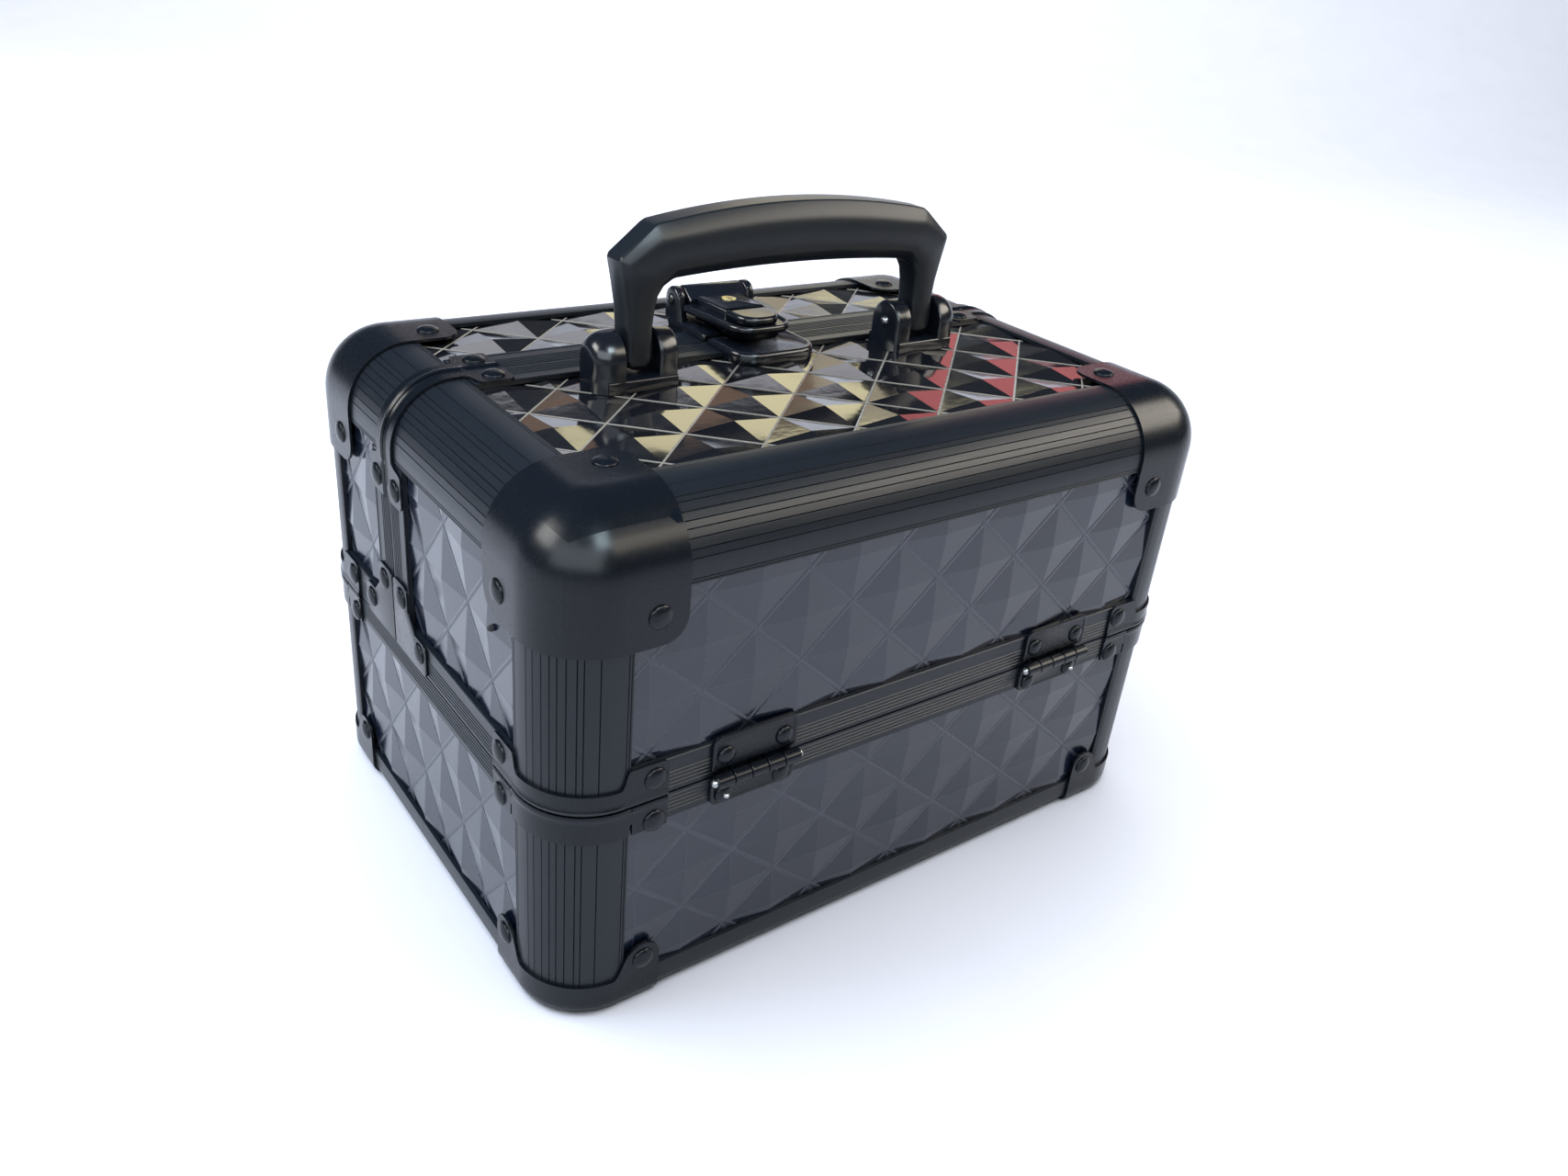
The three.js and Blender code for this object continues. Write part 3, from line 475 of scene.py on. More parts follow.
def backing(bm, window, top, bottom):
    """The flat sheet behind the facets, lined on the inside."""
    (low_u, high_u), (low_v, high_v) = window
    ring = [(low_u, low_v), (high_u, low_v), (high_u, high_v), (low_u, high_v)]
    upper, lower = [[bm.verts.new((u, v, z)) for u, v in ring] for z in (top, bottom)]
    bm.faces.new(upper)
    bm.faces.new(lower[::-1]).material_index = 2
    for k in range(4):
        after = (k + 1) % 4
        bm.faces.new([upper[k], lower[k], lower[after], upper[after]])


def diamond_panel(node, body, axis, sign, run, window, lattice, surface):
    """An embossed panel. axis and sign give its outward normal and run the axis its rows follow. The window
    is the opening it shows through, and the lattice one node of its valleys and half a diamond each way."""
    low, high = node_box(node)
    rise = 3 - axis - run
    facets, lines, apex, strip = surface
    face, back = (high[axis], low[axis]) if sign > 0 else (low[axis], high[axis])
    valley = PROUD - apex
    bm = bmesh.new()
    facet_field(bm, window, lattice[:2], lattice[2:], apex, strip)
    whole = ((low[run], high[run]), (low[rise], high[rise]))
    backing(bm, whole, -WALL / 2, -abs(face - back) - valley)
    for v in bm.verts:
        placed = [0, 0, 0]
        placed[run], placed[rise] = v.co.x * MM, v.co.y * MM
        placed[axis] = (face + sign * (valley + v.co.z)) * MM
        v.co = placed
    piece = make(node + "_embossed", bm, facets, body, "panel_plastic", [node], crisp=3)
    piece.data.materials.append(lines)
    piece.data.materials.append(LINING)


def panels():
    top = (PANEL_TOP, TOP_LINE_HIGHLIGHT, TOP_APEX, TOP_STRIP)
    side_face = (PANEL_SIDE, SIDE_LINE_HIGHLIGHT, SIDE_APEX, SIDE_STRIP)
    across_x = (EDGE_SPAN - HALF_X, HALF_X - EDGE_SPAN)
    across_y = (EDGE_SPAN - HALF_Y, HALF_Y - EDGE_SPAN)
    lid_z = (LID_BOTTOM + RIM_HEIGHT, TOP_Z - EDGE_SPAN)
    base_z = (node_box("base_bottom_frame")[1][2], BASE_TOP - BASE_RIM_HEIGHT)
    for lid, (sign_y, seam) in LIDS.items():
        lid_y = sorted((sign_y * (HALF_Y - EDGE_SPAN), seam + sign_y * RIM_HEIGHT))
        diamond_panel(f"{lid}_top_panel", lid, 2, 1, 0, (across_x, lid_y), LID_TOP_LATTICE, top)
        diamond_panel(f"{lid}_face_panel", lid, 1, sign_y, 0, (across_x, lid_z), LID_FACE_LATTICE, side_face)
        for side, sign_x in SIDES.items():
            diamond_panel(f"{lid}_{side}_panel", lid, 0, sign_x, 1, (lid_y, lid_z), LID_END_LATTICE,
                          side_face)
    for side, sign_x in SIDES.items():
        diamond_panel(f"base_{side}_panel", "base", 0, sign_x, 1, (across_y, base_z), BASE_END_LATTICE,
                      side_face)
    for end, sign_y in ENDS.items():
        diamond_panel(f"base_{end}_panel", "base", 1, sign_y, 0, (across_x, base_z), BASE_FACE_LATTICE,
                      side_face)


def pinhole():
    """A spare hole in the left end of the front lid."""
    plug = Shape()
    rivet(plug, (0.6 - HALF_X, *SPARE_HOLE), (-1, 0, 0), 1.2, 16)
    make("front_lid_spare_hole", plug, LINING, "front_lid", "panel_plastic")


# ---------------------------------------------------------------- pressed corner fittings
TAB_END = 41.2  # every corner fitting ends this far in from the sharp corner
BRACKET_RIVET = 36.2
BALL_RIVET = 35
RIVET_HEIGHT = 8.1  # a fitting's rivets, from its straight edge
STRAP_TAB = 14.2  # width of a strap's end tabs


def pressed(name, shape, body, replaces=(), **edges):
    make(name, shape, PRESSED, body, "pressed_steel", replaces, **{"crisp": 40, **edges})


def bent_fitting(name, body, place, columns, low, high, bead_at, rivet_height, rivet_in):
    """A bent sheet with a rivet on both faces that it runs onto."""
    shape = Shape().grid_solid(*bent_sheet(place, columns, low, high, bead_at))
    add_rivets(shape, place, rivet_height, rivet_in)
    pressed(name, shape, body)


def ball_corner(lid, side, sign_x, sign_y):
    """A pressed ball corner: three faces that share one spherical corner, each with a rounded tab."""
    low, high = node_box(f"{lid}_ball_corner_{side}")
    reach = high[2] - low[2] - SHEET
    radius = EDGE_RADIUS + SHEET
    tab = 9
    arc = [radius - radius * math.tan(math.radians(turn)) for turn in np.linspace(45, 0, 9)]
    flat = list(np.linspace(radius, reach - tab + SHEET, 4)[1:])
    end = list(reach - tab + SHEET + tab * np.sin(np.radians(np.linspace(0, 90, 7)))[1:])
    lines = arc + flat + end

    def corner_of(u, v):
        """Rounds off the far corner of a face."""
        start = reach - tab + SHEET
        if u <= start or v <= start:
            return u, v
        s, t = (u - start) / tab, (v - start) / tab
        return start + tab * s * math.sqrt(1 - t * t / 2), start + tab * t * math.sqrt(1 - s * s / 2)

    def on_ball(point, size):
        core = [max(value, size) for value in point]
        toward = np.array([p - c for p, c in zip(point, core)])
        length = np.linalg.norm(toward)
        return np.array(core) + toward / length * size

    shape = Shape()
    for axis in range(3):
        outer = np.zeros((len(lines), len(lines), 3))
        inner = np.zeros_like(outer)
        for row, u in enumerate(lines):
            for column, v in enumerate(lines):
                a, b = corner_of(u, v)
                point = [0.0, 0.0, 0.0]
                point[(axis + 1) % 3], point[(axis + 2) % 3] = a, b
                spot = on_ball(point, radius)
                centre = np.maximum(spot, radius)
                outer[row, column] = spot - SHEET
                inner[row, column] = centre + (spot - centre) * (radius - SHEET + 0.1) / radius - SHEET
        shape.grid_solid(outer, inner)
    for axis in range(3):
        centre = [BALL_RIVET, BALL_RIVET, BALL_RIVET]
        centre[axis] = -SHEET
        normal = [0, 0, 0]
        normal[axis] = -1
        rivet(shape, centre, normal)
    shape.moved(lambda p: (sign_x * (HALF_X - p[0]), sign_y * (HALF_Y - p[1]), TOP_Z - p[2]))
    pressed(f"{lid}_ball_corner_{side}_pressed", shape, lid, [f"{lid}_ball_corner_{side}"])


def tabbed_strap(end, inner_end, band, corner):
    """The columns of a strap round an edge, and its width at each: band, and a rounded tab at both ends."""
    limit, inner_side = along(end), along(inner_end)
    marks = [sign * (limit - d) for sign in (-1, 1) for d in (0.2, 0.5, 1, 1.7, corner)]
    marks += [sign * (inner_side + d) for sign in (-1, 1) for d in np.linspace(-1.8, 2.2, 9)]

    def width(s):
        rise = smooth(abs(s), inner_side - 1.8, inner_side + 1.2)
        shortfall = rounded_end(limit - abs(s), corner)
        shortfall += rounded_end(abs(s) - inner_side + 0.2, corner) * rise
        return band + (STRAP_TAB - band) * rise - min(shortfall, corner)

    return stations(limit, marks), width


def lid_corner_bracket(lid, side, sign_x, sign_y):
    """The bracket round a lid's post at the parting line, with a raised tab at each end."""
    columns, width = tabbed_strap(TAB_END, EDGE_SPAN - 2.2, 7.2, 2.6)
    bent_fitting(f"{lid}_corner_bracket_{side}", lid, upright(sign_x, sign_y), columns,
                 lambda s: LID_BOTTOM, lambda s: LID_BOTTOM + width(s),
                 (LID_BOTTOM + BEAD_IN, 0.45), LID_BOTTOM + RIVET_HEIGHT, BRACKET_RIVET)


def add_rivets(shape, place, z, at):
    """A rivet on both faces that a fitting runs onto."""
    for s in (-along(at), along(at)):
        foot = np.array(place(s, z, SHEET))
        normal = np.array(place(s, z, SHEET + 1)) - foot
        rivet(shape, foot, normal)


def base_corner_bracket(end, side, sign_x, sign_y):
    """The bracket round a base post at the parting line, with a short slit beside each flange."""
    tall, slit, slit_width, rivet_down = 11.2, 4.6, 0.9, 8.2
    slot_at = along(EDGE_SPAN)
    edges = [-slit_width / 2 - 0.02, -slit_width / 2, slit_width / 2, slit_width / 2 + 0.02]
    marks = [sign * (slot_at + d) for sign in (-1, 1) for d in edges]

    def bottom(s):
        return BASE_TOP - tall + (slit if abs(abs(s) - slot_at) < slit_width / 2 + 0.01 else 0)

    bent_fitting(f"base_corner_bracket_{end}_{side}", "base", upright(sign_x, sign_y),
                 stations(along(TAB_END), marks), bottom, lambda s: BASE_TOP,
                 (BASE_TOP - BEAD_IN, 0.45), BASE_TOP - rivet_down, BRACKET_RIVET)


def bottom_cap(end, side, sign_x, sign_y):
    """A bottom corner cap: low round the post, with a round tab at each end, and turned in underneath."""
    low_edge, tab_z, tab_radius, fillet, turned_in = 13.7, 19.5, 6.6, 5.0, 21
    shoulder = tab_radius * 0.75  # where the tab's circle runs into the blend down to the low edge
    limit = along(TAB_END)
    centre = along(TAB_END - tab_radius)
    place = upright(sign_x, sign_y)
    marks = [sign * (centre + d) for sign in (-1, 1) for d in np.linspace(-14, tab_radius, 27)]
    columns = stations(limit, [m for m in marks if abs(m) > 4])

    def top(s):
        d = abs(s) - centre
        if d > 0:
            return tab_z + math.sqrt(max(tab_radius**2 - d * d, 0))
        if d > -shoulder:
            return tab_z + math.sqrt(tab_radius**2 - d * d)
        edge = tab_z + math.sqrt(tab_radius**2 - shoulder**2)
        return low_edge + (edge - low_edge) * smooth(d, -shoulder - 6.5, -shoulder)

    walls, turns, steps = 8, 6, 3
    rows = walls + turns + steps
    outer = np.zeros((rows, len(columns), 3))
    inner = np.zeros_like(outer)
    for column, s in enumerate(columns):
        high = top(s)
        for row in range(walls):
            z = high + (fillet - high) * row / (walls - 1)
            outer[row, column] = place(s, z, SHEET)
            inner[row, column] = place(s, z, SKIN_GAP)
        for turn in range(turns):
            angle = math.radians(90 * (turn + 1) / turns)
            level, up = math.cos(angle), math.sin(angle)
            out = SHEET - fillet * (1 - level)
            outer[walls + turn, column] = place(s, fillet * (1 - up), out)
            inner[walls + turn, column] = place(s, fillet - (fillet - SHEET) * up, out - SHEET * level)
        for step in range(steps):
            out = SHEET - fillet - (turned_in - fillet) * (step + 1) / steps
            outer[walls + turns + step, column] = place(s, 0, out)
            inner[walls + turns + step, column] = place(s, SHEET, out)
    shape = Shape().grid_solid(outer, inner)
    add_rivets(shape, place, tab_z, TAB_END - tab_radius)
    node = f"base_corner_cap_{end}_{side}"
    pressed(node + "_pressed", shape, "base", [node])


def seam_strap(lid, side, sign_x, sign_y, seam):
    """The strap over a lid's end edge beside the seam between the lids."""
    end, rivet_in = 43.2, 37.1
    over = over_end(sign_x)
    place = lambda s, d, out: over(s, seam + sign_y * d, out)
    columns, width = tabbed_strap(end, EDGE_SPAN + 1.5, 6.4, 2.4)
    bent_fitting(f"{lid}_seam_strap_{side}", lid, place, columns, lambda s: 0, width,
                 (BEAD_IN, 0.5), RIVET_HEIGHT, rivet_in)


def seam_corner_plate(lid, side, sign_x, sign_y, seam):
    """The flat bent-arm plate on a lid's end, where the two parting lines meet."""
    leg, arm, corner, far_rivet = 13.6, 29.5, 3.0, 23.6
    outline = [(0, 0, 0.4), (arm, 0, corner), (arm, leg, corner), (leg + 6, leg, 1.5), (leg, leg + 6, 1.5),
               (leg, arm, corner), (0, arm, corner)]
    place = lambda p, out: (sign_x * (HALF_X + out), seam + sign_y * p[0], LID_BOTTOM + p[1])
    ring = rounded_outline(outline)
    shape = Shape().loft([[place(p, out) for p in ring] for out in (SKIN_GAP, SHEET)])
    for spot in ((RIVET_HEIGHT, far_rivet), (far_rivet, RIVET_HEIGHT)):
        rivet(shape, place(spot, SHEET), (sign_x, 0, 0))
    pressed(f"{lid}_seam_corner_plate_{side}", shape, lid, bevel=0.3)


def rounded_outline(corners, steps=5):
    """A closed outline through (u, v, radius) corners, each rounded by its radius."""
    ring = []
    for index, (u, v, radius) in enumerate(corners):
        here = Vector((u, v))
        before = Vector(corners[index - 1][:2]) - here
        after = Vector(corners[(index + 1) % len(corners)][:2]) - here
        half = before.angle(after) / 2
        back = radius / math.tan(half)
        start, stop = here + before.normalized() * back, here + after.normalized() * back
        middle = here + (before.normalized() + after.normalized()).normalized() * radius / math.sin(half)
        first = start - middle
        turn = -first.angle_signed(stop - middle)
        for step in range(steps + 1):
            angle = turn * step / steps
            spun = Vector((first.x * math.cos(angle) - first.y * math.sin(angle),
                           first.x * math.sin(angle) + first.y * math.cos(angle)))
            ring.append(tuple(middle + spun))
    return ring


def corner_fittings():
    for lid, (sign_y, seam) in LIDS.items():
        for side, sign_x in SIDES.items():
            ball_corner(lid, side, sign_x, sign_y)
            lid_corner_bracket(lid, side, sign_x, sign_y)
            seam_strap(lid, side, sign_x, sign_y, seam)
            seam_corner_plate(lid, side, sign_x, sign_y, seam)
    for end, sign_y in ENDS.items():
        for side, sign_x in SIDES.items():
            base_corner_bracket(end, side, sign_x, sign_y)
            bottom_cap(end, side, sign_x, sign_y)


# ---------------------------------------------------------------- rims
RIB_ROWS = (1.5, 3.0, 4.5, 6.0, 7.5)  # in from the parting line
LID_RIBS = (*RIB_ROWS, 13.2)


def ribbed_strip(name, body, start, stop, across, out, width, ribs):
    """Fine ridges along a rim: ribs are distances across it, and start and stop its two ends."""
    start, stop, across, out = (np.array(v, float) for v in (start, stop, across, out))
    profile = [(0, 0.12), (0, -0.1), (width, -0.1), (width, 0.12)]
    half, high = 0.42, 0.26
    crest = []
    for rib in sorted(ribs, reverse=True):
        crest += [(rib + half, 0.04), (rib + half * 0.4, high), (rib - half * 0.4, high), (rib - half, 0.04)]
    section = profile + crest
    rings = [[tuple(point + across * a + out * b) for a, b in section] for point in (start, stop)]
    axis = int(np.argmax(abs(stop - start)))
    make(name, Shape().loft(rings), ANODISED[axis], body, "anodised_frame", crisp=20)


def rims():
    end = EDGE_SPAN + 0.4
    far_x, far_y = HALF_X - end, HALF_Y - end
    up, down = (0, 0, 1), (0, 0, -1)
    for place, sign_y in ENDS.items():
        lid = "front_lid" if sign_y < 0 else "rear_lid"
        y = sign_y * HALF_Y
        ribbed_strip(f"{lid}_rim_ribs_{place}", lid, (-far_x, y, LID_BOTTOM), (far_x, y, LID_BOTTOM),
                     up, (0, sign_y, 0), RIM_HEIGHT, LID_RIBS)
        ribbed_strip(f"base_rim_ribs_{place}", "base", (-far_x, y, BASE_TOP), (far_x, y, BASE_TOP),
                     down, (0, sign_y, 0), BASE_RIM_HEIGHT, RIB_ROWS)
    for side, sign_x in SIDES.items():
        x, outward = sign_x * HALF_X, (sign_x, 0, 0)
        for lid, (sign_y, seam) in LIDS.items():
            ribbed_strip(f"{lid}_rim_ribs_{side}", lid, (x, sign_y * far_y, LID_BOTTOM),
                         (x, seam, LID_BOTTOM), up, outward, RIM_HEIGHT, LID_RIBS)
            ribbed_strip(f"{lid}_seam_ribs_{side}", lid, (x, seam, LID_BOTTOM), (x, seam, TOP_Z - end),
                         (0, sign_y, 0), outward, RIM_HEIGHT, LID_RIBS)
        ribbed_strip(f"base_rim_ribs_{side}", "base", (x, -far_y, BASE_TOP), (x, far_y, BASE_TOP),
                     down, outward, BASE_RIM_HEIGHT, RIB_ROWS)
    for lid, (sign_y, seam) in LIDS.items():
        ribbed_strip(f"{lid}_seam_ribs_top", lid, (-far_x, seam, TOP_Z), (far_x, seam, TOP_Z),
                     (0, sign_y, 0), up, RIM_HEIGHT, LID_RIBS)


def bottom_frame():
    """The extrusion round the foot of the base, rolled in under the floor."""
    low, high = node_box("base_bottom_frame")
    fillet, inward, wall = 4.0, 12.0, 1.2
    section = [(0, high[2]), (0, high[2] - 0.4)]
    for angle in np.radians(np.linspace(0, 90, 6)):
        section.append((-fillet * (1 - math.cos(angle)), low[2] + fillet * (1 - math.sin(angle))))
    section += [(-inward, low[2]), (-inward, low[2] + wall), (-fillet, low[2] + wall),
                (-EDGE_WALL, low[2] + fillet), (-EDGE_WALL, high[2])]
    path = []
    for sign_x, sign_y, start in ((-1, -1, 180), (1, -1, 270), (1, 1, 0), (-1, 1, 90)):
        for turn in np.linspace(0, 90, 9):
            angle = math.radians(start + turn)
            path.append((sign_x * (HALF_X - EDGE_RADIUS), sign_y * (HALF_Y - EDGE_RADIUS),
                         math.cos(angle), math.sin(angle)))
    rings = []
    for x, y, dx, dy in path + path[:1]:
        rings.append([(x + dx * (EDGE_RADIUS + out), y + dy * (EDGE_RADIUS + out), z) for out, z in section])
    make("base_bottom_frame_rolled", Shape().loft(rings, False, False), ANODISED[0], "base", "anodised_frame",
         ["base_bottom_frame"], crisp=35)


# ---------------------------------------------------------------- hinges
HINGE_OUT = 3.6  # from the case's face to the pin
HINGE_Z = (LID_BOTTOM + BASE_TOP) / 2
HINGE_RIVET = 12  # either side of the middle
BASE_RIVET_UP = 3.9


def hinge_leaf(node, body):
    """A butt hinge leaf with a raised border, rounded corners and its share of the knuckles."""
    low, high = node_box(node)
    sign_y = -1 if high[1] < 0 else 1
    face = min(abs(low[1]), abs(high[1]))
    outer = face + 1.2
    is_lid = body != "base"
    up = 1 if is_lid else -1
    centre, half = (low[0] + high[0]) / 2, (high[0] - low[0]) / 2
    axis_y, barrel, knuckles, play, softening = HALF_Y + HINGE_OUT, 2.6, 5, 0.2, 0.3
    near, far = barrel + 0.6, (high[2] - HINGE_Z if is_lid else HINGE_Z - low[2])
    ring = rounded_outline([(-half, near, 0.5), (half, near, 0.5), (half, far, 2.8), (-half, far, 2.8)])

    def layer(inset, out):
        wide, tall = 1 - inset / half, 1 - inset / (far - near)
        return [(centre + u * wide, sign_y * out, HINGE_Z + up * (near + (v - near) * tall)) for u, v in ring]

    shape = Shape().loft([layer(0, face), layer(0, outer - 0.1), layer(0.3, outer + 0.15),
                          layer(1.0, outer + 0.15), layer(1.4, outer - 0.1)])
    pitch = 2 * half / knuckles
    for index in range(1 if is_lid else 0, knuckles, 2):
        start, stop = centre - half + index * pitch + play, centre - half + (index + 1) * pitch - play
        rings = []
        for x, size in ((start, barrel - softening), (start + softening, barrel),
                        (stop - softening, barrel), (stop, barrel - softening)):
            rings.append([(x, sign_y * (axis_y + size * math.cos(a)), HINGE_Z + size * math.sin(a))
                          for a in np.linspace(0, 2 * math.pi, 21)[:-1]])
        shape.loft(rings)
        neck = [(start, face), (stop, face), (stop, outer), (start, outer)]
        shape.loft([[(x, sign_y * y, HINGE_Z + up * z) for x, y in neck] for z in (0.4, near + 0.4)])
    rivet_z = HINGE_Z + (far - 8.2 if is_lid else BASE_RIVET_UP - far)
    for x in (-HINGE_RIVET, HINGE_RIVET):
        rivet(shape, (centre + x, sign_y * (outer - 0.1), rivet_z), (0, sign_y, 0), 3.6)
    pressed(node + "_finished", shape, body, [node], crisp=38)


def hinges():
    for end, lid, sides in (("front", "front_lid", ("left", "right")),
                            ("back", "rear_lid", ("right", "left"))):
        sign_y = ENDS[end]
        for side in sides:
            base_leaf = f"base_hinge_leaf_{end}_{side}"
            hinge_leaf(base_leaf, "base")
            hinge_leaf(f"{lid}_hinge_leaf_{side}", lid)
            low, high = node_box(base_leaf)
            pin = Shape()
            for x, toward in ((low[0], -1), (high[0], 1)):
                rivet(pin, (x, sign_y * (HALF_Y + HINGE_OUT), HINGE_Z), (toward, 0, 0), 1.7, 16)
            if end == "front":  # the outer rivets are worn to bare steel
                x = (low[0] + high[0]) / 2 + SIDES[side] * HINGE_RIVET
                worn = (x, -HALF_Y - 2.6, low[2] + BASE_RIVET_UP)
                rivet(pin, worn, (0, -1, 0), 1.2, 16)
            make(f"hinge_pin_{end}_{side}", pin, STEEL_PIN, "base", "pressed_steel")


# ---------------------------------------------------------------- handle
# Half sections from the outside in, as shares of the thickness and of the half depth
LEG_SECTION = [(0, 0), (0, 0.62), (0.03, 0.78), (0.1, 0.92), (0.2, 1), (0.8, 1), (0.92, 0.92), (0.98, 0.78),
               (1, 0.6), (1, 0)]
GRIP_SECTION = [(0, 0), (0, 0.5), (0.015, 0.56), (0.2, 0.86), (0.3, 0.95), (0.6, 1), (0.8, 0.9), (0.93, 0.66),
                (1, 0.4), (1, 0)]
# Leg and bend, from the pin: outer (across, up), inner (across, up), depth, share of the grip's section
HANDLE_BEND = [(5.3, 9.1, -5.3, 9.1, 11.6, 0), (6, 17.1, -6, 16.1, 12, 0), (7.5, 26.1, -7, 20.7, 13.2, 0.1),
               (8.9, 33.7, -9, 23.7, 14.8, 0.3), (8.3, 35.3, -9.6, 24.2, 15.2, 0.4),
               (-4, 45.1, -13.4, 26.1, 17.2, 0.85), (-5.8, 46.1, -14.8, 26.4, 17.4, 0.95)]
FOOT_RADIUS = 6


def handle_stations():
    """Stations from the right foot to the crown: outer (x, z), inner (x, z), depth and grip share."""
    low, high = node_box("carry_handle")
    middle, pivot = high[0] - 9.1, low[2] + FOOT_RADIUS
    foot_depth, foot_sweep = 12, 6.9
    rows = []
    for turn in np.radians((12, 30, 50, 70, 90)):
        reach, drop = FOOT_RADIUS * math.sin(turn), FOOT_RADIUS * math.cos(turn)
        depth = min(foot_depth, 2 * math.sqrt(foot_sweep**2 - drop**2))
        rows.append(((middle + reach, pivot - drop), (middle - reach, pivot - drop), depth, 0))
    for a, b, c, d, depth, share in HANDLE_BEND:
        rows.append(((middle + a, pivot + b), (middle + c, pivot + d), depth, share))
    end, under = rows[-1][0][0], pivot + 28.6
    for share in np.linspace(1, 0, 9)[1:]:
        x = end * share
        rows.append(((x, high[2] - 5.5 * share**2), (x * 0.86, under - 2.2 * share**2), 18, 1))
    return rows


def handle():
    low, high = node_box("carry_handle")
    centre_y = (low[1] + high[1]) / 2
    half = handle_stations()
    whole = half + [((-o[0], o[1]), (-i[0], i[1]), depth, share) for o, i, depth, share in half[-2::-1]]
    rings = []
    for outer, inner, depth, share in whole:
        outer, inner = np.array(outer), np.array(inner)
        section = [(a + (c - a) * share, b + (d - b) * share)
                   for (a, b), (c, d) in zip(LEG_SECTION, GRIP_SECTION)]
        ring = []
        for t, h in section + [(t, -h) for t, h in section[-2:0:-1]]:
            x, z = outer + (inner - outer) * t
            ring.append((x, centre_y - h * depth / 2, z))
        rings.append(ring)
    make("carry_handle_moulded", Shape().loft(rings), MOULDED, "handle", "handle_plastic", ["carry_handle"],
         bevel=0.35, bevel_angle=0.42, crisp=24)


def arch_outline(half, foot, top, steps=14):
    """A round-topped outline in (y, z), from foot up."""
    ring = [(-half, foot), (half, foot)]
    for angle in np.linspace(0, math.pi, steps + 1):
        ring.append((half * math.cos(angle), top - half + half * math.sin(angle)))
    return ring


def handle_bracket(side, sign_x):
    """A clevis bracket: a domed outer cheek, a slimmer inner cheek, the bridge between them and the pin."""
    node = f"handle_bracket_{side}"
    low, high = node_box(node)
    inner_x = min(abs(low[0]), abs(high[0])) + 0.5
    outer_x = max(abs(low[0]), abs(high[0]))
    slot = (inner_x + 7.7, outer_x - 11.2)
    centre_y, half = (low[1] + high[1]) / 2, (high[1] - low[1]) / 2
    foot, top, bridge_up = low[2], high[2] + 1.2, low[2] + 4.7
    pivot_z = node_box("carry_handle")[0][2] + FOOT_RADIUS
    place = lambda x, p: (sign_x * x, centre_y + p[0], p[1])
    shape = Shape()
    dome = slot[1] + 0.6
    rings = [[place(slot[1], p) for p in arch_outline(9.4, foot, top - 0.6)]]
    for turn in np.linspace(0, math.pi / 2, 9):
        x = dome + (outer_x - dome) * math.sin(turn)
        inset = 6.5 * (1 - math.cos(turn)) ** 1.2
        rings.append([place(x, p) for p in arch_outline(10 - inset, foot, top - inset)])
    shape.loft(rings)
    cheek = [(inner_x, 1.3), (inner_x + 0.4, 0.5), (inner_x + 1.2, 0), (slot[0] - 0.8, 0), (slot[0], 0.7)]
    shape.loft([[place(x, p) for p in arch_outline(8.6 - inset, foot, top - 0.8 - inset)]
                for x, inset in cheek])
    bridge = tongue(half, foot, bridge_up, 0.3, back_radius=1, steps=5)
    shape.loft([[place(x, p) for p in bridge] for x in (inner_x + 1, outer_x - 4)])
    make(f"{node}_finished", shape, LATCH_BLACK, "front_lid", "latch_metal", [node], crisp=40)
    pin = Shape()
    rivet(pin, (sign_x * inner_x, centre_y, pivot_z), (-sign_x, 0, 0), 1.9, 20)
    make(f"handle_pin_{side}", pin, STEEL_PIN, "front_lid", "latch_metal")


# ---------------------------------------------------------------- latch
def plate(shape, outline, layers):
    """A rounded plate over a counter-clockwise (x, y) outline: layers are (z, distance in from it)."""
    ring = np.array(outline)
    along_ring = np.roll(ring, -1, 0) - np.roll(ring, 1, 0)
    along_ring /= np.linalg.norm(along_ring, axis=1)[:, None]
    inward = np.stack([-along_ring[:, 1], along_ring[:, 0]], axis=1)
    shape.loft([[(x, y, z) for x, y in ring + inward * inset] for z, inset in layers])


def tongue(half, front, back, radius, back_half=None, back_radius=0.6, steps=8):
    """An outline with its own corner radius at the front and the back, and its own width at the back."""
    back_half = back_half or half
    return rounded_outline([(-half, front, radius), (half, front, radius),
                            (back_half, back, back_radius), (-back_half, back, back_radius)], steps)


def barrel_cover(shape, low_x, high_x, axis_y, axis_z, radius, foot_y, foot_z):
    """A rounded cover across a barrel, with soft ends."""
    rings = []
    for x, inset in ((low_x, 1.3), (low_x + 0.3, 0.5), (low_x + 1.1, 0),
                     (high_x - 1.1, 0), (high_x - 0.3, 0.5), (high_x, 1.3)):
        ring = [(x, foot_y, foot_z - 2.5), (x, foot_y, foot_z - inset)]
        for angle in np.radians(np.linspace(118, -50, 13)):
            reach = radius - inset
            ring.append((x, axis_y + reach * math.cos(angle), axis_z + reach * math.sin(angle)))
        rings.append(ring)
    shape.loft(rings)


def latch_piece(name, shape, body):
    make(f"latch_{name}_finished", shape, LATCH_BLACK, body, "latch_metal", [f"latch_{name}"], crisp=50)


